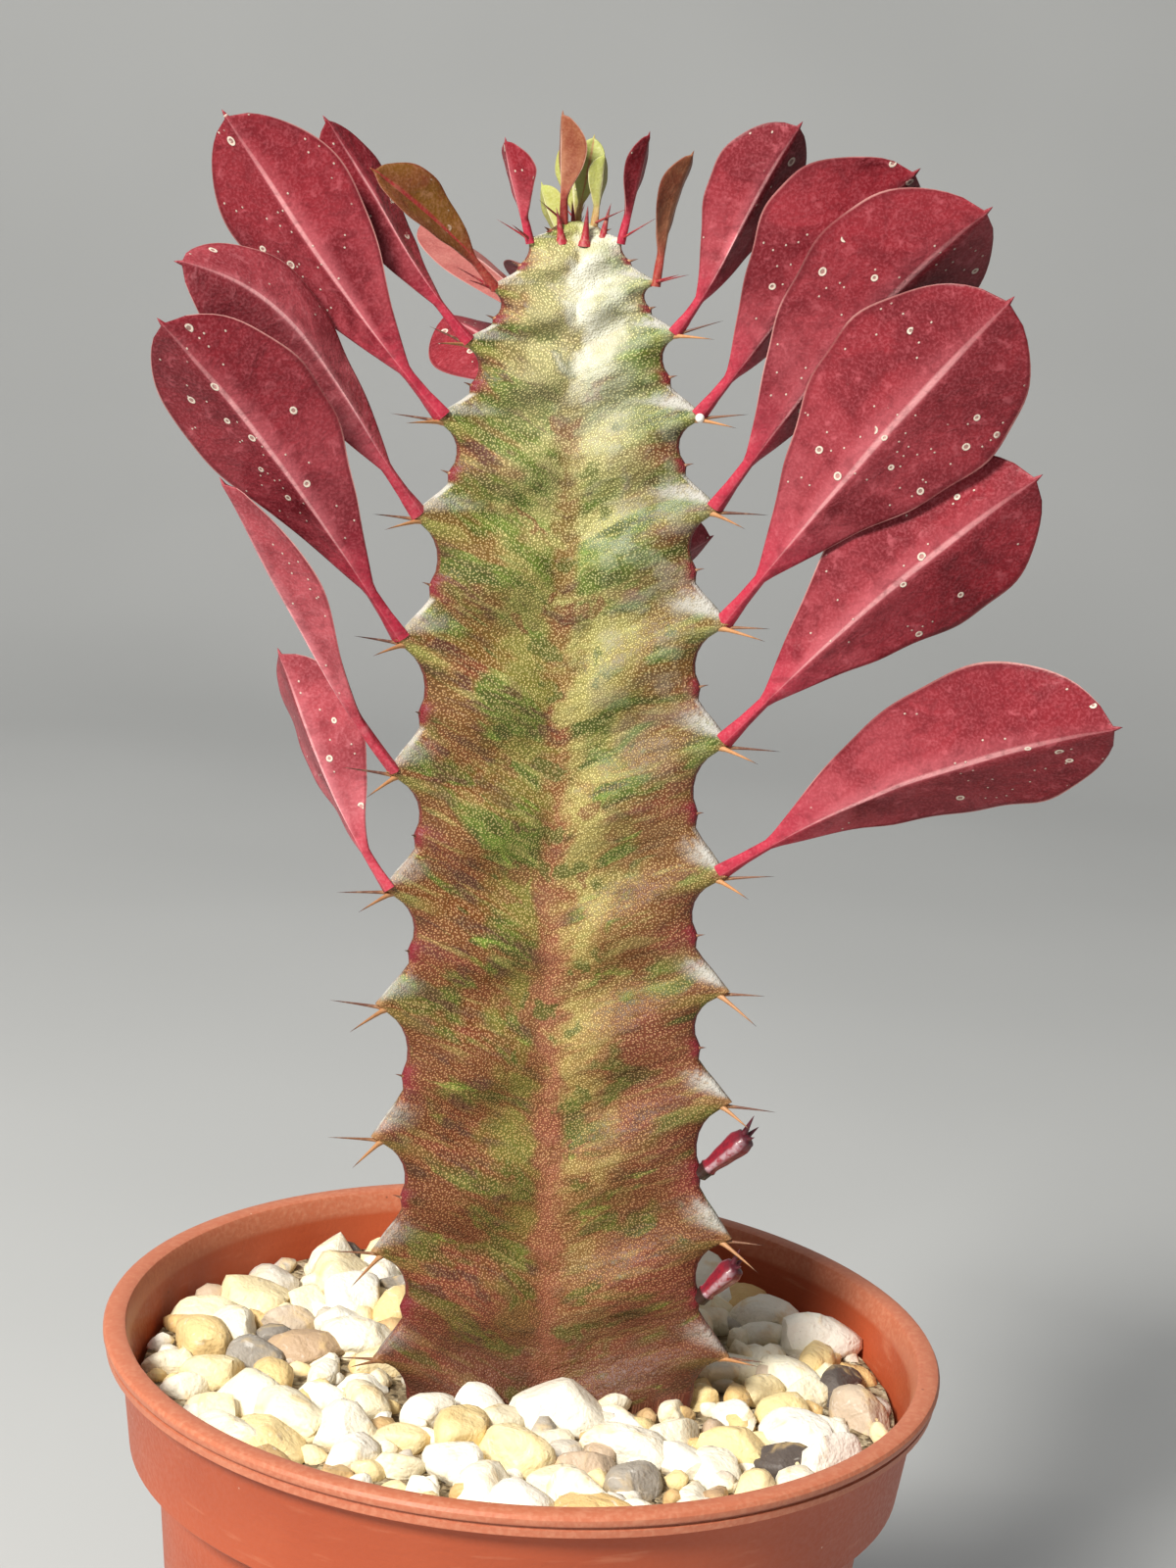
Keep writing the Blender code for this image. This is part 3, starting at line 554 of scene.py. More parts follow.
    # white wax on the teeth, then the crest, the knuckles, the tips and the corky foot
    inward = f.step(z, 0.20, 0.262, 0.30, 0.60)
    below = f.math("MULTIPLY_ADD", across, 0.38, phase)
    tooth_top = f.times(
        f.step(f.math("MULTIPLY_ADD", fine, 0.14, phase), 0.78, 0.92),
        f.step(below, 1.03, 0.94),
        f.step(f.math("DIVIDE", across, inward), 1.0, 0.3),
    )
    wax = f.times(tooth_top, f.step(fine, 0.28, 0.55, 0.62, 1.0), f.step(s, -0.006, 0.006, 0.5, 0.95))
    wax = f.times(wax, f.step(z, 0.105, 0.15, 0.5, 1.0))
    skin = f.mix(wax, skin, TOOTH_WAX)
    crest = f.times(f.step(across, 0.055, 0.02), f.step(phase, 0.10, 0.2), f.step(phase, 0.5, 0.42))
    skin = f.mix(f.times(crest, 0.75), skin, CREST_RED)
    silver = f.times(f.step(across, 0.085, 0.03), f.step(phase, 0.64, 0.70), f.step(phase, 0.86, 0.78))
    skin = f.mix(f.times(silver, f.step(z, 0.17, 0.23), 0.6), skin, CREST_SILVER)
    knuckle = f.times(f.step(phase, 0.45, 0.52), f.step(phase, 0.68, 0.61), f.step(across, 0.17, 0.05))
    skin = f.mix(f.times(knuckle, 0.9), skin, KNUCKLE_RED)
    tip = f.math("MAXIMUM", f.step(phase, 0.07, 0.012), f.step(phase, 0.945, 0.988))
    skin = f.mix(f.times(tip, f.step(across, 0.16, 0.07), 0.9), skin, TIP_CORK)
    foot = f.step(f.math("MULTIPLY_ADD", patches, 0.02, z), 0.142, 0.116)
    skin = f.mix(f.times(foot, 0.3), skin, FOOT_CORK)
    f.colour(skin)
    f.roughness(f.step(wax, 0.0, 1.0, 0.48, 0.72))
    f.bump((fine, 0.00016), (f.step(stipple, 0.5, 0.1), 0.00007), (streaks, 0.0004), (blotches, 0.0005))
    return f.material


# Tones of a leaf's lower side, its darker cloud, its keel, its upper side and its veins; how many
# freckles it has, from 0 to 1; and how much painted shade darkens its lower half.
LeafTones = namedtuple("LeafTones", "lower shade keel upper vein freckles fall", defaults=(0.0,))
BURGUNDY = LeafTones(
    (0.245, 0.016, 0.025),
    (0.110, 0.0060, 0.011),
    (0.62, 0.15, 0.18),
    (0.16, 0.018, 0.022),
    (0.46, 0.022, 0.055),
    0.20,
)
LEAF_TONES = {
    "burgundy": BURGUNDY,
    "burgundy_clear": BURGUNDY._replace(freckles=0.07),
    "bronze": LeafTones(
        (0.29, 0.105, 0.050),
        (0.17, 0.030, 0.020),
        (0.50, 0.25, 0.15),
        (0.17, 0.072, 0.012),
        (0.34, 0.026, 0.034),
        0.0,
    ),
    "pale_green": LeafTones(
        (0.40, 0.44, 0.12),
        (0.36, 0.34, 0.09),
        (0.62, 0.62, 0.34),
        (0.42, 0.48, 0.15),
        (0.40, 0.17, 0.08),
        0.0,
    ),
    # a paler copy of the burgundy tones: painted light for leaves whose upper half faces the lamp, with
    # stronger painted shade on the lower half
    "burgundy_painted_light": LeafTones(
        (0.40, 0.062, 0.078),
        (0.150, 0.012, 0.018),
        (0.68, 0.22, 0.25),
        (0.17, 0.02, 0.024),
        (0.48, 0.03, 0.06),
        0.14,
        0.45,
    ),
    "blush": LeafTones(
        (0.40, 0.135, 0.115),
        (0.28, 0.060, 0.055),
        (0.58, 0.24, 0.21),
        (0.24, 0.06, 0.05),
        (0.36, 0.04, 0.06),
        0.05,
    ),
}
# the pale pink of the line along the keel: a painted highlight
KEEL_LINE_HIGHLIGHT = (0.95, 0.72, 0.70)
BUFF_RIM = (0.80, 0.68, 0.56)
FRECKLE = (0.76, 0.66, 0.55)


def leaf_finish(name):
    """A fleshy leaf, clouded and streaked, with a paler keel carrying a painted highlight, a paler rim,
    ring-shaped freckles and painted shade on its lower half.
    """
    lower, shade, keel, upper, vein, freckles, lower_shade_strength = LEAF_TONES[name]
    f = Finish("leaf_" + name, Specular_IOR_Level=0.2, Coat_Weight=0.03, Coat_Roughness=0.4)
    along = f.attribute("along")
    half = f.attribute("across")
    across = f.math("ABSOLUTE", half)
    under = f.step(f.attribute("underside"), 0.45, 0.55)
    own = f.attribute("leaf_number")
    mood = f.math("FRACT", f.math("MULTIPLY", own, 0.618))
    cloud = f.noise(110, 4.0, distortion=0.6)
    broad = f.noise(48, 2.0)
    grain = f.noise(2600, 2.0)
    streak = f.noise(520, 3.0, distortion=0.4)

    below = f.mix(f.times(f.step(cloud, 0.46, 0.64), 0.55), lower, shade)
    below = f.mix(f.times(f.step(broad, 0.45, 0.68), 0.45), below, shade)
    below = f.mix(f.times(mood, 0.22), below, shade)
    # painted shade: the lower half of the blade, turned away from the lamp, made darker
    painted_lower_shade = f.times(f.step(half, 0.0, 0.03), f.step(half, 0.42 + 2 * lower_shade_strength, 0.05), 0.3 + lower_shade_strength)
    below = f.mix(painted_lower_shade, below, shade)
    warm = f.mix(0.55, lower, keel)
    below = f.mix(f.times(f.step(along, 0.80, 0.25), f.step(cloud, 0.70, 0.35), 0.5), below, warm)
    # painted highlight on the upper flank of the keel, strongest towards the stalk
    ridge = f.times(f.step(half, -0.30, 0.0), f.step(half, 0.10, 0.0))
    keel_highlight = f.times(ridge, f.step(along, 1.0, 0.42, 0.22, 1.0))
    below = f.mix(f.times(keel_highlight, 0.62), below, keel)
    # a pale pink line on the keel itself: painted highlight where the fold catches the lamp
    edge = f.times(f.step(across, 0.05, 0.015), f.step(along, 1.0, 0.7, 0.2, 1.0))
    below = f.mix(f.times(edge, 0.8), below, f.mix(0.35, keel, KEEL_LINE_HIGHLIGHT))
    above = f.mix(f.times(f.step(cloud, 0.42, 0.66), 0.5), upper, shade)
    above = f.mix(f.times(f.step(across, 0.14, 0.03), 0.9), above, vein)
    skin = f.mix(under, above, below)
    skin = f.mix(f.times(f.step(along, 0.34, 0.08), 0.75), skin, vein)
    skin = f.mix(f.step(grain, 0.40, 0.70, 0.0, 0.20), skin, keel)
    skin = f.mix(f.step(streak, 0.50, 0.30, 0.0, 0.34), skin, shade)
    skin = f.mix(f.step(streak, 0.58, 0.74, 0.0, 0.30), skin, keel)
    dark_edge = f.times(f.step(across, 0.90, 0.955), f.step(along, 0.15, 0.3))
    skin = f.mix(f.times(dark_edge, 0.45), skin, shade)
    rim = f.times(f.step(across, 0.972, 0.99), f.step(along, 0.15, 0.3))
    rim_strength = f.times(rim, f.step(broad, 0.40, 0.62, 0.12, 0.6))
    skin = f.mix(rim_strength, skin, f.mix(0.4, keel, BUFF_RIM))

    # rings of about 1 mm and single dots, in flocks, at other places on each leaf
    u, v, _ = f.split(f.sheet())
    along_leaf = f.math("MULTIPLY_ADD", own, 0.37, f.times(u, 0.82))
    speckled = f.gather(along_leaf, f.math("MULTIPLY_ADD", own, 0.11, v), 0.0)
    spot = f.cells(255, speckled, flat=True)
    chance, chance_too, _ = f.split(spot["Color"])
    flock = f.math("SUBTRACT", f.noise(75, 1.0, speckled), 0.5)
    often = f.math("MULTIPLY_ADD", flock, 1.5, chance)
    chosen = f.step(often, 1.0 - freckles, 1.005 - freckles)
    radius = f.math("MULTIPLY_ADD", chance_too, -0.05, spot["Distance"])
    ring = f.times(f.step(radius, 0.110, 0.092), f.step(radius, 0.02, 0.05, 0.3, 1.0))
    grains = f.cells(760, speckled, flat=True)
    rare, _, _ = f.split(grains["Color"])
    dots = f.times(
        f.step(grains["Distance"], 0.13, 0.08),
        f.step(f.math("MULTIPLY_ADD", flock, 0.9, rare), 1.0 - freckles / 2, 1.01 - freckles / 2),
    )
    freckle = f.math("MAXIMUM", f.times(chosen, ring), f.times(dots, 0.75))
    freckle = f.times(freckle, f.step(along, 0.22, 0.30), f.step(across, 0.95, 0.9))
    freckle = f.times(freckle, f.step(under, 0.0, 1.0, 0.35, 1.0))
    skin = f.mix(f.times(freckle, 0.92), skin, FRECKLE)
    f.colour(skin)
    f.roughness(f.step(cloud, 0.3, 0.7, 0.38, 0.5))
    f.bump((grain, 0.00006), (streak, 0.00018), (cloud, 0.0007), (freckle, 0.0001))
    return f.material


def spine_finish():
    """Tan spines with dark tips, darker ones behind the teeth as painted shade, and crimson ones on the
    crown.
    """
    f = Finish("spine_horn", Specular_IOR_Level=0.4)
    along = f.attribute("along")
    tone = f.attribute("tone")
    grain = f.noise(1800, 2.0)
    horn = f.mix(tone, (0.50, 0.235, 0.095), (0.11, 0.042, 0.032))
    horn = f.mix(f.step(along, 0.35, 0.0), horn, (0.52, 0.27, 0.12))
    horn = f.mix(f.step(along, 0.6, 1.0), horn, (0.055, 0.024, 0.02))
    crimson = f.mix(f.step(along, 0.3, 0.9), (0.34, 0.022, 0.035), (0.20, 0.03, 0.04))
    horn = f.mix(f.step(tone, 1.3, 1.7), horn, crimson)
    horn = f.mix(f.step(grain, 0.45, 0.75, 0.0, 0.3), horn, (0.55, 0.36, 0.22))
    f.colour(horn)
    f.roughness(f.step(grain, 0.3, 0.7, 0.38, 0.6))
    f.bump((grain, 0.00004))
    return f.material


def shoot_finish():
    """Crimson young growth with a painted highlight along its ridges and a dark ring at its foot."""
    f = Finish("young_shoot", Specular_IOR_Level=0.45, Coat_Weight=0.1)
    along = f.attribute("along")
    ridge = f.attribute("ridge")
    grain = f.noise(1400, 2.0)
    red = f.mix(f.step(grain, 0.35, 0.7), (0.26, 0.016, 0.030), (0.15, 0.010, 0.022))
    # pale pink on the ridges: painted highlight
    red = f.mix(f.times(f.step(ridge, 0.55, 1.0), f.step(grain, 0.25, 0.6), 0.75), red, (0.52, 0.36, 0.40))
    red = f.mix(f.step(along, 0.72, 1.05), red, (0.075, 0.010, 0.018))
    red = f.mix(f.step(along, 0.09, 0.03), red, (0.035, 0.015, 0.012))
    f.colour(red)
    f.roughness(f.step(grain, 0.3, 0.7, 0.32, 0.5))
    f.bump((grain, 0.00008))
    return f.material


def stone_finish():
    """Quartz stones, each its own tone: most white, some cream or yellow, few tan, grey or dark."""
    f = Finish("quartz_gravel", Specular_IOR_Level=0.42)
    tone = f.attribute("tone")
    x, y, z = f.split(f.coords)
    own = f.gather(f.math("MULTIPLY_ADD", tone, 3.1, x), f.math("MULTIPLY_ADD", tone, 7.7, y), z)
    stain = f.noise(230, 3.0, own, 0.6)
    grit = f.noise(1500, 3.0, own)
    vein = f.noise(420, 4.0, own, 1.2)
    body = f.ramp(
        tone,
        (
            (0.0, (0.92, 0.88, 0.78)),
            (0.28, (0.91, 0.86, 0.71)),
            (0.46, (0.89, 0.79, 0.54)),
            (0.66, (0.86, 0.68, 0.34)),
            (0.79, (0.72, 0.48, 0.20)),
            (0.87, (0.46, 0.30, 0.17)),
            (0.935, (0.72, 0.66, 0.56)),
            (0.985, (0.10, 0.08, 0.07)),
        ),
    )
    body = f.mix(f.times(f.step(stain, 0.52, 0.74), 0.6), body, (0.78, 0.55, 0.24))
    body = f.mix(f.times(f.step(vein, 0.60, 0.72), 0.4), body, (0.93, 0.90, 0.84))
    body = f.mix(f.times(f.step(grit, 0.64, 0.80), 0.4), body, (0.42, 0.32, 0.20))
    f.colour(body)
    f.roughness(f.step(stain, 0.3, 0.7, 0.45, 0.7))
    f.bump((grit, 0.0002), (stain, 0.0009))
    return f.material


def grit_and_gap_shade_finish():
    """What shows between the stones: fine brown grit, kept dark as painted shade in the gaps."""
    f = Finish("gravel_grit_and_gap_shade", Specular_IOR_Level=0.3, Roughness=0.85)
    grain = f.cells(700)
    fine = f.noise(900, 3.0)
    tone, _, _ = f.split(grain["Color"])
    # the grit's tones, kept dark for the painted shade of the gaps between the stones
    body = f.ramp(
        tone,
        (
            (0.0, (0.16, 0.11, 0.06)),
            (0.6, (0.34, 0.26, 0.15)),
            (1.0, (0.55, 0.47, 0.32)),
        ),
    )
    f.colour(f.mix(f.step(fine, 0.4, 0.7, 0.0, 0.6), body, (0.10, 0.065, 0.035)))
    f.bump((f.step(grain["Distance"], 0.6, 0.0), 0.0008), (fine, 0.0004))
    return f.material


def pot_finish():
    """Terracotta-coloured plastic, faintly scuffed, with a grainier rim painted paler as a highlight, and
    painted shade in the rim's groove.
    """
    f = Finish("terracotta_plastic", Specular_IOR_Level=0.34)
    x, y, z = f.split(f.coords)
    radius = f.math("SQRT", f.math("ADD", f.times(x, x), f.times(y, y)))
    broad = f.noise(28, 3.0)
    grain = f.noise(1300, 3.0)
    scuffs = f.noise(260, 4.0, f.gather(f.times(x, 0.35), f.times(y, 0.35), f.times(z, 2.4)))
    body = f.mix(f.step(broad, 0.35, 0.7), (0.42, 0.078, 0.028), (0.48, 0.102, 0.040))
    body = f.mix(f.times(f.step(scuffs, 0.60, 0.76), 0.28), body, (0.66, 0.27, 0.15))
    # the heights and radii are those of the profile's rim band, painted paler as a highlight, and of the
    # groove in it, painted darker as shade
    rim = f.times(f.step(z, 0.1108, 0.1118), f.step(radius, 0.0600, 0.0612))
    body = f.mix(f.times(rim, f.step(grain, 0.35, 0.75, 0.4, 0.75)), body, (0.62, 0.26, 0.155))
    groove = f.times(f.step(z, 0.11245, 0.1129), f.step(z, 0.1136, 0.1132), f.step(radius, 0.0638, 0.0641))
    body = f.mix(f.times(groove, 0.4), body, (0.20, 0.04, 0.018))
    dust = f.cells(420)
    rare, _, _ = f.split(dust["Color"])
    fleck = f.times(f.step(dust["Distance"], 0.10, 0.05), f.step(rare, 0.90, 0.92))
    body = f.mix(f.times(fleck, 0.6), body, (0.80, 0.62, 0.48))
    dark = f.cells(310)
    seldom, _, _ = f.split(dark["Color"])
    speck = f.times(f.step(dark["Distance"], 0.09, 0.05), f.step(seldom, 0.95, 0.96))
    body = f.mix(f.times(speck, 0.6), body, (0.14, 0.05, 0.03))
    f.colour(body)
    f.roughness(f.step(grain, 0.3, 0.7, 0.40, 0.54))
    f.bump((grain, 0.00005), (scuffs, 0.00006))
    return f.material


def soil_finish():
    """Dark damp potting soil with pale grains in it."""
    f = Finish("potting_soil", Specular_IOR_Level=0.2, Roughness=0.95)
    clods = f.noise(240, 4.0)
    grains = f.cells(520)
    rare, _, _ = f.split(grains["Color"])
    body = f.mix(f.step(clods, 0.35, 0.65), (0.030, 0.018, 0.011), (0.085, 0.05, 0.028))
    pale = f.times(f.step(grains["Distance"], 0.28, 0.18), f.step(rare, 0.90, 0.92))
    f.colour(f.mix(pale, body, (0.52, 0.47, 0.38)))
    f.bump((clods, 0.0012), (pale, 0.0004))
    return f.material


# The column


def column_axis(height):
    share = height / COLUMN_HEIGHT
    x = COLUMN_X + COLUMN_LEAN * share + COLUMN_BOW * math.sin(math.pi * share)
    return Vector((x, COLUMN_Y, GRAVEL_LEVEL + height - CROWN_SINK * max(0.0, share) ** 50))


def margin_radius(height):
    share = min(1.0, max(0.0, height / COLUMN_HEIGHT))
    waist = WAIST * math.exp(-(((height - WAIST_HEIGHT) / WAIST_SPAN) ** 2))
    return MARGIN_RADIUS * (1 - share**4) ** 0.6 - waist


def tooth_reach(height):
    share = min(1.0, max(0.0, height / COLUMN_HEIGHT))
    return TOOTH_REACH * (1 - share**10) ** 0.7


def valley_radius(height):
    share = max(0.0, height / COLUMN_HEIGHT)
    return margin_radius(height) * (VALLEY_SHARE + CROWN_FULLNESS * share**6)


def ridge_drop(height):
    return RIDGE_DROP * (1 - max(0.0, height / COLUMN_HEIGHT) ** 4)


def tooth_height(rib, tooth):
    heights = TOOTH_HEIGHTS[rib]
    return heights[tooth] / 1000 if tooth >= 0 else heights[0] / 1000 - BURIED_STEP


def outline(phase):
    """The tooth's outline as a smooth curve through its points, with a sharp tip."""
    for i in range(len(TOOTH_OUTLINE) - 1):
        (x0, y0), (x1, y1) = TOOTH_OUTLINE[i : i + 2]
        if phase <= x1:
            break
    slope = (y1 - y0) / (x1 - x0)
    before = slope
    after = slope
    if i > 0:
        before = (y1 - TOOTH_OUTLINE[i - 1][1]) / (x1 - TOOTH_OUTLINE[i - 1][0])
    if i < len(TOOTH_OUTLINE) - 2:
        after = (TOOTH_OUTLINE[i + 2][1] - y0) / (TOOTH_OUTLINE[i + 2][0] - x0)
    return curve(y0, y1, before, after, x1 - x0, (phase - x0) / (x1 - x0))


def curve(first, last, leaving, arriving, span, t):
    """A cubic from first to last with the given slopes."""
    a = (1 + 2 * t) * (1 - t) ** 2
    b = t * t * (3 - 2 * t)
    c = t * (1 - t) ** 2 * span
    d = t * t * (t - 1) * span
    return first * a + last * b + leaving * c + arriving * d


TOP_TOOTH = 12
ROW_PHASES = (
    *(0, 0.015, 0.045, 0.09, 0.14, 0.20, 0.28, 0.37, 0.46),
    *(0.52, 0.57, 0.62, 0.68, 0.76, 0.84, 0.91, 0.965),
)
LAST_RUN = TOP_TOOTH + 0.5
RIB_COLUMNS = 32

# A face runs from the rib's crest, 0, over the flank to the middle of the hollow, 1.
CREST_END = 0.13
FLANK_END = 0.56
FLANK_SPAN = 0.43
HOLLOW_SPAN = 0.44
BEYOND_CREST = 0.87


def skin_point(rib, side_rib, side, across, run):
    """A point of the skin, and its distance from the hollow's middle line.

    Across is 0 on the rib's crest and 1 in the hollow to the side rib.
    """
    tooth = TOP_TOOTH - int(run)
    phase = run - int(run)
    height = blend(tooth_height(rib, tooth), tooth_height(rib, tooth - 1), phase)
    beside = blend(tooth_height(side_rib, tooth), tooth_height(side_rib, tooth - 1), phase)
    share = outline(phase)
    margin = margin_radius(height)
    size = min(1.0, margin / SLIM_CROWN_RADIUS)
    crest = Vector((margin + tooth_reach(height) * share, 0.0))
    narrowing = 1 - CREST_NARROWING * share
    shoulder = crest + Vector((-CREST_ROUNDING, CREST_HALF_WIDTH * narrowing)) * size
    valley = valley_radius((height + beside) / 2)
    foot = Vector((valley * COS_60, valley * SIN_60))
    start = Vector((margin - CREST_ROUNDING * size, CREST_HALF_WIDTH * size))
    mid = start.lerp(foot, MID_FLANK_SHARE)
    inner, outer, last = (foot - mid).length, (mid - shoulder).length, (shoulder - crest).length
    if across < CREST_END:
        leaving = Vector((0.0, shoulder.y / CREST_END * 1.3))
        arriving = (mid - crest) / FLANK_END
        flat = curve(crest, shoulder, leaving, arriving, CREST_END, across / CREST_END)
        apart = inner + outer + last * (1 - across / CREST_END)
    elif across < FLANK_END:
        leaving, arriving = (mid - crest) / FLANK_END, (foot - shoulder) / BEYOND_CREST
        flat = curve(shoulder, mid, leaving, arriving, FLANK_SPAN, (across - CREST_END) / FLANK_SPAN)
        apart = inner + outer * (FLANK_END - across) / FLANK_SPAN
    else:
        leaving = (foot - shoulder) / BEYOND_CREST
        arriving = Vector((-SIN_60, COS_60)) * (foot - mid).length / HOLLOW_SPAN
        flat = curve(mid, foot, leaving, arriving, HOLLOW_SPAN, (across - FLANK_END) / HOLLOW_SPAN)
        apart = inner * (1 - across) / HOLLOW_SPAN
    belly = math.sin(math.pi * min(1.0, max(0.0, (across - 0.1) / 0.9)))
    ridge = RIDGE_RELIEF * math.cos(2 * math.pi * (phase - RIDGE_PHASE))
    flat.y += belly * size * (FLANK_SWELL + ridge)
    level = blend(height, (height + beside) / 2, smooth_step(0.4, 1.0, across))
    ahead = direction(RIB_HEADINGS[rib], 0)
    aside = Vector((-ahead.y, ahead.x, 0)) * side
    point = column_axis(level) + ahead * flat.x + aside * flat.y
    point.z -= ridge_drop(level) * max(0.0, (across - CREST_END) / BEYOND_CREST)
    return point, apart


def column_rows():
    rows = [TOP_TOOTH - tooth + phase for tooth in range(TOP_TOOTH, -1, -1) for phase in ROW_PHASES]
    return [None] + [row for row in rows if row <= LAST_RUN]


def wrinkle(point, kind):
    scale, height = kind
    return noise.noise(point * scale) * height


def add_column():
    """The skin, drawn ring by ring from the crown to the blunt root."""
    rows = column_rows()
    ribs = list(RIB_HEADINGS)
    columns = 3 * RIB_COLUMNS
    last = len(rows) + len(ROOT_OUTLINE) - 1
    spots = []

    def place(u, v):
        row = round(v * last)
        third = min(2.999999, u * 3)
        local = 2 * (third - int(third)) - 1
        if u > 0.999999:
            local = 1.0
        rib, side = ribs[int(third)], 1 if local > 0 else -1
        side_rib = ribs[(int(third) + side) % 3]
        across = abs(local) ** SKIN_POWER
        if row == 0:
            spots.append((0.0, GRAVEL_LEVEL + COLUMN_HEIGHT))
            return column_axis(COLUMN_HEIGHT), across, 0.05
        run = rows[min(row, len(rows) - 1)]
        point, apart = skin_point(rib, side_rib, side, across, run)
        out = point - column_axis(point.z - GRAVEL_LEVEL)
        out.z = 0
        calm = smooth_step(0.05, 0.35, across)
        wrinkles = wrinkle(point, FINE_WRINKLE) + wrinkle(point, BROAD_WRINKLE)
        corky = smooth_step(*CORKY_HEIGHTS, point.z) * wrinkle(point, CORKY_WRINKLE)
        point += out.normalized() * (wrinkles * calm + corky)
        spots.append((apart, point.z))
        if row >= len(rows):
            depth, spread, roundness = ROOT_OUTLINE[row - len(rows)]
            out = Vector((point.x - COLUMN_X, point.y - COLUMN_Y, 0))
            reach = blend(out.length, ROOT_RADIUS, roundness) * spread
            centre = column_axis(-blend(ROOT_TOP_DEPTH, ROOT_DEPTH, depth))
            point = centre + out.normalized() * reach
        return point, across, run

    piece = start_sheet("column_skin", columns, last)
    sides = []
    for face in piece.data.polygons:
        third = (face.center.x + 0.5) * columns / RIB_COLUMNS
        sides.append(-1 if third - int(third) > 0.5 else 1)
    shape(piece, place, ("across", "growth"))
    layer = piece.data.uv_layers[0]
    for face, side in zip(piece.data.polygons, sides):
        for loop in face.loop_indices:
            apart, height = spots[piece.data.loops[loop].vertex_index]
            layer.data[loop].uv = (apart * side, height)
    close_seams(piece)
    smooth(piece, 60)
    return dress(piece, skin_finish(), "stem_skin", "column")


def crest_point(rib, tooth, phase=0.0, tooth_share=1.0):
    height = blend(tooth_height(rib, tooth), tooth_height(rib, tooth - 1), phase)
    radius = margin_radius(height) + tooth_reach(height) * tooth_share
    return column_axis(height) + direction(RIB_HEADINGS[rib], 0) * radius


def horn(name, rings=6, bow=0.08):
    """One slim horn along +Z, one unit long and one wide at its foot, a little bowed."""
    piece = start_sheet(name, 8, rings)

    def place(u, v):
        radius = (1 - v) ** 0.8 * (1.0 - 0.25 * v) + 0.02
        if v > 0.999:
            radius = 0.0
        angle = 2 * math.pi * u
        radius *= 1.0 + 0.5 * smooth_step(0.2, 0.0, v)
        bend = 10 * bow * v * (1 - v)
        return Vector((radius * math.cos(angle), radius * math.sin(angle) + bend, v)), v

    shape(piece, place, ("along",))
    close_seams(piece)
    smooth(piece, 60)
    return piece


def aim(root, tip, radius):
    """Places the unit horn with its foot on root and its point on tip."""
    along = tip - root
    turn = along.to_track_quat("Z", "Y").to_matrix().to_4x4()
    return Matrix.Translation(root) @ turn @ Matrix.Diagonal((radius, radius, along.length, 1.0))


def add_spines():
    """The pairs of spines on the teeth and the tiny prickle on each knuckle between them."""
    draw = random.Random(SPINE_SEED)
    shade = random.Random(SPINE_TONE_SEED)
    placed = []
    for rib, heights in TOOTH_HEIGHTS.items():
        ahead = direction(RIB_HEADINGS[rib], 0)
        for tooth in range(len(heights)):
            young = tooth_height(rib, tooth) / COLUMN_HEIGHT
            size = 1 - 0.4 * young**8
            root = crest_point(rib, tooth, *SPINE_PLACE) - ahead * SPINE_ROOTING
            for side in (-1, 1):
                spread = side * SPINE_SPREAD + draw.uniform(-5, 5)
                behind = side * ahead.x > 0
                rise = blend(*(BACK_SPINE_RISES if behind else FRONT_SPINE_RISES), young)
                rise += draw.uniform(-6, 6) + CROWN_SPINE_LIFT * young**8
                if tooth == 0:
                    rise = draw.uniform(0, 12)
                reach = blend(SPINE_LENGTH, TOP_SPINE_LENGTH, young) * size * draw.uniform(0.88, 1.14)
                tip = root + direction(RIB_HEADINGS[rib] + spread, rise) * reach
                # the spine that points behind its tooth gets a darker tone: painted shade
                tone = shade.uniform(0.6, 1.0) if behind else shade.uniform(0.0, 0.35)
                if tooth >= FIRST_RED_TOOTH:
                    tone = CRIMSON_TONE
                thick = SPINE_RADIUS * size * (0.8 if behind else 0.95)
                placed.append((aim(root, tip, thick), tone))
            if tooth > 1:
                root = crest_point(rib, tooth, *KNUCKLE_PLACE) - ahead * PRICKLE_ROOTING
                heading = RIB_HEADINGS[rib] + shade.uniform(-30, 30)
                tip = root + direction(heading, 18) * PRICKLE_LENGTH
                placed.append((aim(root, tip, PRICKLE_RADIUS), 0.9))
    piece = copies(horn("spine"), placed, "spines", "tone")
    return dress(piece, spine_finish(), "stem_skin")


# Leaves


def leaf_size(leaf):
    return min(1.0, (leaf.length / FULL_LEAF_LENGTH) ** 0.5)


def blade_half_width(leaf, station):
    stalk = STALK_RADIUS * leaf_size(leaf) * (1 - 0.2 * smooth_step(0.0, 0.12, station))
    stalk *= 1 + 0.35 * smooth_step(0.035, 0.0, station)
    along = (station - BLADE_START) / (1 - BLADE_START)
    if along <= 0:
        return stalk
    blade = leaf.width / 2 * math.sin(math.pi * min(1.0, along) ** BROADEST_POWER) ** BLUNTNESS
    return max(stalk * (1 - smooth_step(0.6, 1.0, station)), blade)


def midrib(leaf, base, station):
    end = base + direction(leaf.heading, leaf.rise) * leaf.length
    first = base + direction(leaf.heading, leaf.start) * leaf.length * MIDRIB_PULL
    second = end - direction(leaf.heading, leaf.finish) * leaf.length * MIDRIB_PULL
    t = station
    s = 1 - t
    point = base * s**3 + first * 3 * s * s * t + second * 3 * s * t * t + end * t**3
    slope = (first - base) * s * s + (second - first) * 2 * s * t + (end - second) * t * t
    return point, slope.normalized()


def leaf_seat(rib, tooth, leaf):
    lift = SEAT_HEIGHT * leaf_size(leaf) + 0.0001
    return crest_point(rib, tooth) + Vector((0, 0, lift)) - direction(RIB_HEADINGS[rib], 0) * 0.15 * lift


MUCRO = ((0.35, 0.30), (0.8, 0.18), (1.3, 0.0))
LEAF_ROWS = 46
LEAF_COLUMNS = 28


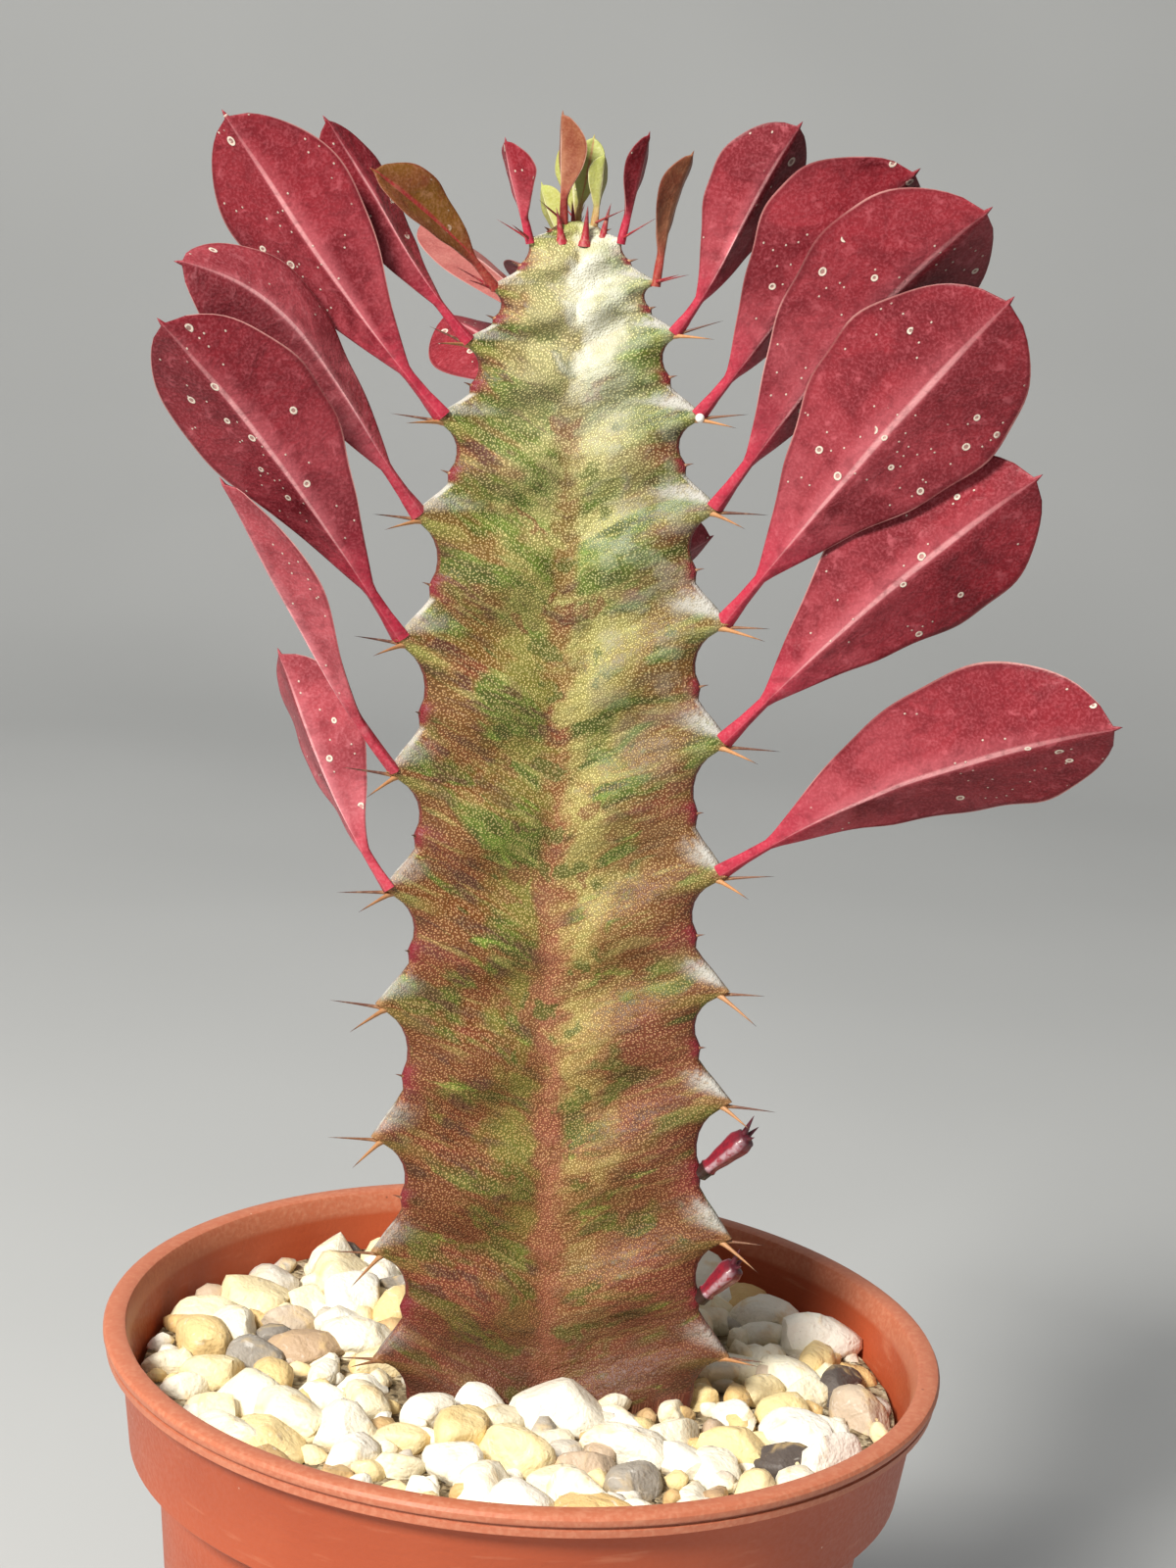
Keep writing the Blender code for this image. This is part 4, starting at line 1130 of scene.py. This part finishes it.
def add_leaf(rib, tooth, leaf, number, finish):
    """One leaf: a rolled sheet from the foot of the stalk to the small point at the blade's end."""
    base = leaf_seat(rib, tooth, leaf)
    size = leaf_size(leaf)
    own = random.Random(LEAF_SEED + number)
    waves = [(own.uniform(1.2, 2.2), own.uniform(0, 1), own.uniform(0.5, 1.0)) for _ in range(2)]
    swing = min(LEAF_SWING, leaf.width * 0.028)
    facing = direction(leaf.facing, 0)
    chord = direction(leaf.heading, leaf.rise)
    level_keel = (facing - chord * facing.dot(chord)).normalized()
    sink = -1 if chord.cross(level_keel).z > 0 else 1
    last = LEAF_ROWS + len(MUCRO)
    spots = []

    def place(u, v):
        row = round(v * last)
        station = min(1.0, row / LEAF_ROWS)
        station = station + 0.06 * math.sin(math.pi * station) * station
        point, along = midrib(leaf, base, station)
        keel = (facing - along * facing.dot(along)).normalized()
        lower = along.cross(keel) * sink
        turn = math.radians(leaf.roll)
        keel = keel * math.cos(turn) + lower * math.sin(turn)
        aside = along.cross(keel)
        angle = 2 * math.pi * u
        across, under = math.cos(angle), math.sin(angle)
        half = blade_half_width(leaf, station)
        if row >= LEAF_ROWS:
            reach, half = (0.0, 0.4) if row == LEAF_ROWS else MUCRO[row - LEAF_ROWS - 1]
            point = point + along * reach * 0.001 * size
            half *= 0.001 * size
            point += (aside * across + keel * under * 0.8) * half
            spots.append((leaf.length + reach * 0.001, 0.0))
            return point, 1.0, across * sink * 0.3, 0.5 + 0.5 * under, number
        stalkiness = 1 - smooth_step(0.05, 0.4, station)
        thick = blend(BLADE_THICKNESS * 0.8, 1.7 * STALK_RADIUS, stalkiness) * max(size, 0.75)
        edge = min(thick, blend(BLADE_EDGE, STALK_RADIUS, stalkiness))
        side = abs(across)
        fold = math.radians(leaf.fold) * smooth_step(0.05, 0.35, station)
        blade = smooth_step(0.14, 0.4, station) * smooth_step(1.0, 0.93, station)
        depth = blend(thick, edge, side**1.8) / 2 * abs(under) ** blend(0.35, 1.0, stalkiness)
        count, start, strength = waves[0 if across < 0 else 1]
        wave = swing * strength * blade * side**2.5 * math.sin(2 * math.pi * (count * station + start))
        bulge = -0.35 * swing * blade * math.sin(math.pi * side)
        back = -half * (math.sqrt(side * side + 0.004) - 0.063) * math.sin(fold)
        ruffle = 1 + 0.02 * blade * math.sin(2 * math.pi * (2.3 * count * station + start))
        point = point + aside * across * half * math.cos(fold) * ruffle + keel * (back + wave + bulge)
        scale, uneven = LEAF_UNEVENNESS
        point += keel * noise.noise(point * scale + Vector((number, 0, 0))) * uneven * blade * size
        close = math.exp(-((across * half / KEEL_WIDTH) ** 2)) * blade
        close *= 1 - smooth_step(0.55, 1.0, station)
        if under >= 0:
            point += keel * (depth + KEEL_DEPTH * size * close)
        else:
            point -= keel * (depth - VEIN_GROOVE * size * close)
        if row == 0:
            point -= along * LEAF_ROOTING
        spots.append((station * leaf.length, across * half))
        return point, station, across * sink, 0.5 + 0.5 * under, number

    piece = start_sheet(f"blade_{rib}_{tooth:02d}", LEAF_COLUMNS, last)
    shape(piece, place, ("along", "across", "underside", "leaf_number"))
    layer = piece.data.uv_layers[0]
    flat = []
    for loop in piece.data.loops:
        flat += spots[loop.vertex_index]
    layer.data.foreach_set("uv", flat)
    close_ends(piece)
    close_seams(piece)
    smooth(piece, 75)
    return dress(piece, finish, "leaf_" + leaf.colour, f"leaf_{rib}_{tooth:02d}")


def close_ends(piece):
    """Fills the open ring at the foot of a rolled sheet."""
    close_seams(piece)
    pick(piece)
    bpy.ops.object.mode_set(mode="EDIT")
    bpy.ops.mesh.select_all(action="DESELECT")
    bpy.ops.mesh.select_mode(type="EDGE")
    bpy.ops.mesh.select_non_manifold()
    bpy.ops.mesh.fill()
    bpy.ops.mesh.select_mode(type="VERT")
    bpy.ops.object.mode_set(mode="OBJECT")


# some leaves have fewer freckles, one is pinker, and three take the paler copy with painted light
OTHER_LOOKS = {
    ("right", 4): "burgundy_clear",
    ("right", 5): "burgundy_clear",
    ("back", 8): "blush",
    ("left", 4): "burgundy_painted_light",
    ("left", 5): "burgundy_painted_light",
    ("left", 7): "burgundy_painted_light",
}


def add_leaves():
    """The leaves of the three ribs, each with the finish of its age."""
    finishes = {look: leaf_finish(look) for look in LEAF_TONES}
    number = 0
    for rib, carried in LEAVES.items():
        for tooth, leaf in carried.items():
            number += 1
            look = OTHER_LOOKS.get((rib, tooth), leaf.colour)
            add_leaf(rib, tooth, leaf, number, finishes[look])


BUD_SEED = 4
BUD_RADIUS = 0.00075
BUD_SINK = 0.0034
BUD_EXTRA = 0.0022
BUDS = (
    (0.0012, -0.0034, 0.0036),
    (-0.0022, -0.0030, 0.0030),
    (0.0036, -0.0022, 0.0042),
    (-0.0006, 0.001, 0.0042),
)
DROP_TOOTH = ("right", 8)
DROP_OFFSET = (-0.0008, -0.0008, -0.0002)
DROP_RADIUS = 0.00068


def add_buds():
    """Crimson leaf buds in the middle of the crown, and a drop of milky sap on one tooth."""
    draw = random.Random(BUD_SEED)
    placed = []
    for x, y, reach in BUDS:
        root = column_axis(COLUMN_HEIGHT) + Vector((x, y, -BUD_SINK))
        tip = root + Vector((x * 0.3 + draw.uniform(-0.0006, 0.0006), y * 0.2, reach + BUD_EXTRA))
        placed.append((aim(root, tip, BUD_RADIUS), CRIMSON_TONE))
    piece = copies(horn("bud"), placed, "crown_buds", "tone")
    dress(piece, spine_finish(), "stem_skin")

    deselect()
    where = crest_point(*DROP_TOOTH) + Vector(DROP_OFFSET)
    bpy.ops.mesh.primitive_uv_sphere_add(segments=24, ring_count=14, radius=DROP_RADIUS, location=where)
    bpy.ops.object.transform_apply(location=True)
    drop = name_piece(bpy.context.object, "milk_drop")
    smooth(drop, 60)
    milk = Finish("milky_sap", Roughness=0.22, Specular_IOR_Level=0.5)
    milk.colour(milk.mix(milk.noise(900, 1.0), (0.80, 0.79, 0.74), (0.88, 0.87, 0.83)))
    dress(drop, milk.material, "stem_skin")


# Side shoots

SHOOTS = {"upper": (2, 0.0085, -10, 46), "lower": (1, 0.0070, -10, 50)}
SHOOT_RADIUS = 0.0019
SHOOT_SEAT = 0.0009
SHOOT_OUTLINE = (
    (0.0, 0.62),
    (0.05, 0.72),
    (0.12, 0.62),
    (0.45, 0.82),
    (0.78, 1.0),
    (0.95, 0.82),
    (1.03, 0.3),
    (1.05, 0.0),
)
LEAFLETS = ((-14, 22, 0.62), (26, -4, 0.46), (-34, -14, 0.4))


def add_shoot(name, tooth, length, heading, rise, finish):
    """A young shoot: a ridged, swelling bud that ends in dark pointed first leaves."""
    along = direction(heading, rise)
    base = crest_point("right", tooth, *KNUCKLE_PLACE) + along * SHOOT_SEAT
    turn = along.to_track_quat("Z", "Y").to_matrix()
    last = 4 * (len(SHOOT_OUTLINE) - 1)

    def place(u, v):
        step = min(last - 1e-6, v * last) / 4
        (s0, r0), (s1, r1) = SHOOT_OUTLINE[int(step)], SHOOT_OUTLINE[int(step) + 1]
        share = smooth_step(0, 1, step - int(step))
        station, swell = blend(s0, s1, step - int(step)), blend(r0, r1, share)
        if v > 0.9999:
            station, swell = 1.05, 0.0
        angle = 2 * math.pi * u
        ridge = math.cos(3 * angle + math.pi)
        radius = SHOOT_RADIUS * swell * (1 + 0.13 * ridge)
        start = -0.0012 if v < 1e-6 else 0.0
        point = base + along * (length * station + start)
        point += turn @ Vector((radius * math.cos(angle), radius * math.sin(angle), 0))
        return point, station, 0.5 + 0.5 * ridge

    body = start_sheet("shoot_body", 24, last)
    shape(body, place, ("along", "ridge"))
    close_ends(body)
    close_seams(body)
    pieces = [body]
    for spread, lift, reach in LEAFLETS:
        root = base + along * length * 0.8
        tip = root + direction(heading + spread, rise + lift) * length * reach
        leaflet = horn("leaflet", 8, 0.03)
        leaflet.data.transform(aim(root, tip, 0.0008))
        for mark in leaflet.data.attributes["along"].data:
            mark.value = 0.85 + 0.3 * mark.value
        pieces.append(leaflet)
    piece = join(pieces, f"shoot_{name}_bud")
    smooth(piece, 60)
    return dress(piece, finish, "shoot_red", f"shoot_{name}")


def add_shoots():
    finish = shoot_finish()
    for name, (tooth, length, heading, rise) in SHOOTS.items():
        add_shoot(name, tooth, length, heading, rise, finish)


# Gravel

GRAVEL_SEED = 31
CHIP_SIZES = (0.0018, 0.0034)
CHIP_FIELD_RADIUS = 0.0583
BED_RADIUS = 0.0588
BED_TOP_SHARE = 0.7
BED_OUTLINE = (
    (0.0, BED_TOP),
    (BED_RADIUS, BED_TOP),
    (0.0592, BED_TOP - 0.001),
    (0.0583, 0.0985),
    (0.0530, 0.0964),
    (0.0, 0.0960),
)
PEBBLES = 130
PEBBLE_FIELD_RADIUS = 0.0565
PEBBLE_SIZES = (0.0036, 0.0064)
PEBBLE_FLATNESS = (0.55, 0.8)
PEBBLE_CLEARANCE = 0.3
PEBBLE_LIFT = 0.25
PEBBLE_SEED = 11
POT_MOUTH = 0.0587
FILLERS = 330


def column_reach(x, y):
    heading = math.degrees(math.atan2(y - COLUMN_Y, x - COLUMN_X))
    apart = min(abs((heading - rib + 180) % 360 - 180) for rib in RIB_HEADINGS.values())
    turn = math.radians(min(apart, 60))
    crest = MARGIN_RADIUS + TOOTH_REACH
    valley = MARGIN_RADIUS * VALLEY_SHARE
    slope = (1 / valley - math.cos(math.radians(60)) / crest) / math.sin(math.radians(60))
    return 1 / (math.cos(turn) / crest + slope * math.sin(turn))


def pebbles():
    draw = random.Random(PEBBLE_SEED)
    places = []
    for i in range(PEBBLES):
        reach = PEBBLE_FIELD_RADIUS * math.sqrt((i + 0.5) / PEBBLES) * draw.uniform(0.97, 1.03)
        angle = GOLDEN_ANGLE * i + draw.uniform(-0.05, 0.05)
        size = blend(*PEBBLE_SIZES, draw.random() ** 1.6)
        flatness = blend(*PEBBLE_FLATNESS, draw.random())
        spin = draw.uniform(0, math.pi)
        lean = draw.uniform(-0.3, 0.3)
        reach = min(reach, POT_MOUTH - size)
        x, y = reach * math.cos(angle), reach * math.sin(angle)
        apart = math.hypot(x - COLUMN_X, y - COLUMN_Y) - column_reach(x, y)
        if apart > PEBBLE_CLEARANCE * size:
            places.append((x, y, size, flatness, spin, lean))
    return places


def stone(name, draw, fineness):
    """One unit stone: a ball, dented and stretched, and broken flat on a few sides."""
    deselect()
    bpy.ops.mesh.primitive_ico_sphere_add(subdivisions=fineness, radius=1.0)
    piece = name_piece(bpy.context.object, name)
    seed = Vector((draw.uniform(0, 50), draw.uniform(0, 50), draw.uniform(0, 50)))
    flats = []
    for _ in range(9):
        side = Vector((draw.gauss(0, 1), draw.gauss(0, 1), draw.gauss(0, 0.8))).normalized()
        flats.append((side, draw.uniform(0.58, 0.9)))
    stretch = Vector((draw.uniform(1.0, 1.22), draw.uniform(0.82, 1.08), draw.uniform(0.9, 1.15)))
    for corner in piece.data.vertices:
        point = corner.co.normalized()
        dents = 0.24 * noise.noise(point * 0.9 + seed) + 0.06 * noise.noise(point * 2.4 + seed)
        point = point * (1.06 + dents)
        for side, limit in flats:
            over = point.dot(side) - limit
            if over > 0:
                point -= side * over * 0.88
        corner.co = point * stretch
    return piece


def set_stone(piece, tone, place):
    piece.data.transform(place)
    layer = piece.data.attributes.new("tone", "FLOAT", "POINT")
    layer.data.foreach_set("value", [tone] * len(piece.data.vertices))
    return piece


def add_gravel():
    """Stones of many tones over a bed of grit, with small ones in the gaps."""
    draw = random.Random(GRAVEL_SEED)
    large = []
    for x, y, size, flatness, spin, lean in pebbles():
        size *= draw.uniform(0.88, 1.26)
        inward = min(1.0, (POT_MOUTH - size) / max(0.001, math.hypot(x, y)))
        x, y = x * inward, y * inward
        scale = Matrix.Diagonal((size, size * 0.82, size * flatness, 1.0))
        turn = Matrix.Rotation(spin, 4, "Z") @ Matrix.Rotation(lean, 4, "X")
        place = Matrix.Translation((x, y, BED_TOP + PEBBLE_LIFT * size * flatness)) @ turn @ scale
        large.append(set_stone(stone("stone", draw, 3), draw.random(), place))
    finish = stone_finish()
    piece = join(large, "gravel_stones")
    smooth(piece, 50)
    dress(piece, finish, "gravel", "gravel")

    small = []
    for i in range(FILLERS):
        size = draw.uniform(*CHIP_SIZES)
        reach = min(CHIP_FIELD_RADIUS * math.sqrt((i + 0.5) / FILLERS), POT_MOUTH + 0.0006 - size)
        angle = GOLDEN_ANGLE * i + 1.3
        x, y = reach * math.cos(angle), reach * math.sin(angle)
        if math.hypot(x - COLUMN_X, y - COLUMN_Y) < column_reach(x, y) - 0.002:
            continue
        tilt = Euler((draw.uniform(-0.6, 0.6), draw.uniform(-0.6, 0.6), draw.uniform(0, 6.3)))
        turn = tilt.to_matrix().to_4x4()
        scale = Matrix.Diagonal((size, size * 0.8, size * 0.7, 1.0))
        place = Matrix.Translation((x, y, BED_TOP + draw.uniform(-0.0004, 0.0012))) @ turn @ scale
        small.append(set_stone(stone("chip", draw, 2), draw.random(), place))
    piece = join(small, "gravel_chips")
    smooth(piece, 60)
    dress(piece, finish, "gravel", "gravel")

    bed = start_sheet("gravel_bed", 96, 20)

    def place(u, v):
        angle = 2 * math.pi * u
        if v <= BED_TOP_SHARE:
            radius = BED_RADIUS * v / BED_TOP_SHARE
            spot = Vector((radius * math.cos(angle), radius * math.sin(angle), 0))
            height = BED_TOP + 0.0006 * noise.noise(spot * 300)
        else:
            step = 1 + min(3.999, (v - BED_TOP_SHARE) / (1 - BED_TOP_SHARE) * 4)
            (r0, h0), (r1, h1) = BED_OUTLINE[int(step)], BED_OUTLINE[int(step) + 1]
            radius, height = blend(r0, r1, step - int(step)), blend(h0, h1, step - int(step))
        if v > 0.999:
            radius = 0.0
        return (Vector((radius * math.cos(angle), radius * math.sin(angle), height)),)

    shape(bed, place)
    close_seams(bed, 2e-6)
    smooth(bed, 50)
    dress(bed, grit_and_gap_shade_finish(), "gravel", "gravel")


# Pot

DRAIN_HOLES = 8
DRAIN_RING = 0.0335
DRAIN_RADIUS = 0.003
DRAIN_DEPTH = 0.006
CHANNEL_HEIGHT = 0.0022
POT_PROFILE = (
    (0.0, 0.0),
    (0.0250, 0.0),
    (0.0258, 0.0006),
    (0.0265, 0.0022),
    (0.0405, 0.0022),
    (0.0412, 0.0006),
    (0.0420, 0.0),
    (0.0454, 0.0),
    (0.0461, 0.0003),
    (0.0466, 0.0010),
    (0.0558, 0.0942),
    (0.0561, 0.0946),
    (0.0598, 0.0954),
    (0.0602, 0.0958),
    (0.0621, 0.1105),
    (0.0624, 0.1110),
    (0.0640, 0.1113),
    (0.0645, 0.1116),
    (0.0646, 0.1126),
    (0.0643, 0.1128),
    (0.0643, 0.1131),
    (0.0648, 0.1133),
    (0.0650, 0.1138),
    (0.0650, 0.1143),
    (0.0647, 0.1148),
    (0.0642, 0.1150),
    (0.0622, 0.1150),
    (0.0617, 0.1148),
    (0.0614, 0.1143),
    (0.0608, 0.1116),
    (0.0587, 0.0974),
    (0.0583, 0.0966),
    (0.0543, 0.0960),
    (0.0540, 0.0954),
    (0.0451, 0.0045),
    (0.0446, 0.0037),
    (0.0252, 0.0037),
    (0.0240, 0.0030),
    (0.0235, 0.0015),
    (0.0, 0.0015),
)


def add_pot():
    """The pot turned from its profile, with the drain holes bored through its channel."""
    last = len(POT_PROFILE) - 1
    pot = start_sheet("pot_shell", 128, last)

    def place(u, v):
        radius, height = POT_PROFILE[round(v * last)]
        angle = 2 * math.pi * u
        return (Vector((radius * math.cos(angle), radius * math.sin(angle), height)),)

    shape(pot, place)
    close_seams(pot)
    deselect()
    bores = []
    for i in range(DRAIN_HOLES):
        angle = 2 * math.pi * (i + 0.5) / DRAIN_HOLES
        where = (DRAIN_RING * math.cos(angle), DRAIN_RING * math.sin(angle), CHANNEL_HEIGHT)
        bpy.ops.mesh.primitive_cylinder_add(
            vertices=24, radius=DRAIN_RADIUS, depth=DRAIN_DEPTH, location=where
        )
        bores.append(bpy.context.object)
    bore = join(bores, "drain_bores")
    cutter = pot.modifiers.new("Bore", "BOOLEAN")
    cutter.operation = "DIFFERENCE"
    cutter.solver = "EXACT"
    cutter.object = bore
    pick(pot)
    bpy.ops.object.modifier_apply(modifier="Bore")
    bpy.data.objects.remove(bore, do_unlink=True)
    smooth(pot, 30)
    return dress(pot, pot_finish(), "pot_plastic", "pot")


def add_soil():
    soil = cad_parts["soil"]
    finish = soil_finish()
    for place in soil.material_slots:
        place.material = finish


# Surroundings


FLOOR_FRONT, FLOOR_LENGTH, FLOOR_WIDTH = -1.6, 3.4, 8.0
BEND_START, BEND_LENGTH, BEND_RADIUS = 1.1, 0.7, 0.45
WALL_HEIGHT = 3.0
PAPER_TONES = ((0.55, 0.56, 0.56), (0.59, 0.60, 0.60))


def add_stage():
    """A pale floor that curves up into a pale backdrop."""
    floor = start_sheet("backdrop", 2, 40)

    def place(u, v):
        depth = FLOOR_FRONT + FLOOR_LENGTH * v
        height = 0.0
        if depth > BEND_START:
            turn = min(1.0, (depth - BEND_START) / BEND_LENGTH) * math.pi / 2
            depth = BEND_START + BEND_RADIUS * math.sin(turn)
            height = BEND_RADIUS * (1 - math.cos(turn))
        if v > 0.999:
            depth, height = BEND_START + BEND_RADIUS, WALL_HEIGHT
        return (Vector(((u - 0.5) * FLOOR_WIDTH, depth, height)),)

    shape(floor, place)
    smooth(floor, 60)
    paper = Finish("backdrop_paper", Roughness=0.9, Specular_IOR_Level=0.1)
    paper.colour(paper.mix(paper.step(paper.noise(3, 2.0), 0.3, 0.7), *PAPER_TONES))
    floor.data.materials.append(paper.material)


def add_lamp(name, where, aimed_at, width, power, colour):
    lamp = bpy.data.lights.new(name, "AREA")
    lamp.shape = "SQUARE"
    lamp.size = width
    lamp.energy = power
    lamp.color = colour
    holder = bpy.data.objects.new(name, lamp)
    holder.location = where
    holder.rotation_euler = (Vector(aimed_at) - Vector(where)).to_track_quat("-Z", "Y").to_euler()
    bpy.context.scene.collection.objects.link(holder)


# Where each lamp stands, where it points, its width, its power and its colour.
LAMPS = {
    "key": ((-0.66, -0.98, 1.12), (0, 0, 0.18), 0.34, 38, (1.0, 0.97, 0.91)),
    "sky": ((-0.35, 0.0, 1.5), (0, 0, 0.1), 1.0, 4, (1.0, 0.99, 0.97)),
}
STUDIO_COLOUR = (0.97, 0.98, 1.0, 1.0)
STUDIO_STRENGTH = 0.16


def add_lights():
    for name, lamp in LAMPS.items():
        add_lamp(name, *lamp)
    world = bpy.data.worlds.new("studio")
    bpy.context.scene.world = world
    world.use_nodes = True
    background = world.node_tree.nodes["Background"]
    background.inputs["Color"].default_value = STUDIO_COLOUR
    background.inputs["Strength"].default_value = STUDIO_STRENGTH


CAMERA_PLACE = (0.0, -0.416762, 0.287945)
CAMERA_RIGHT = Vector((0.9969029, 0.0084488, 0.0781871))
CAMERA_UP = Vector((-0.0782801, 0.2019084, 0.9762711))
CAMERA_FORWARD = Vector((0.0075383, 0.9793680, -0.2019444))
CAMERA_LENS = 65
CAMERA_SENSOR = 36


def add_camera():
    """The photograph's place and angle, solved from the ellipse of the pot's rim."""
    view = bpy.data.cameras.new("camera")
    view.lens = CAMERA_LENS
    view.sensor_width = CAMERA_SENSOR
    view.clip_start = 0.01
    camera = bpy.data.objects.new("camera", view)
    turn = Matrix((CAMERA_RIGHT, CAMERA_UP, -CAMERA_FORWARD)).transposed().to_4x4()
    camera.matrix_world = Matrix.Translation(CAMERA_PLACE) @ turn
    bpy.context.scene.collection.objects.link(camera)
    bpy.context.scene.camera = camera


def main():
    add_column()
    add_spines()
    add_leaves()
    add_buds()
    add_shoots()
    add_gravel()
    add_pot()
    add_soil()
    add_stage()
    add_lights()
    add_camera()
    bpy.context.scene.view_settings.view_transform = "Standard"


main()
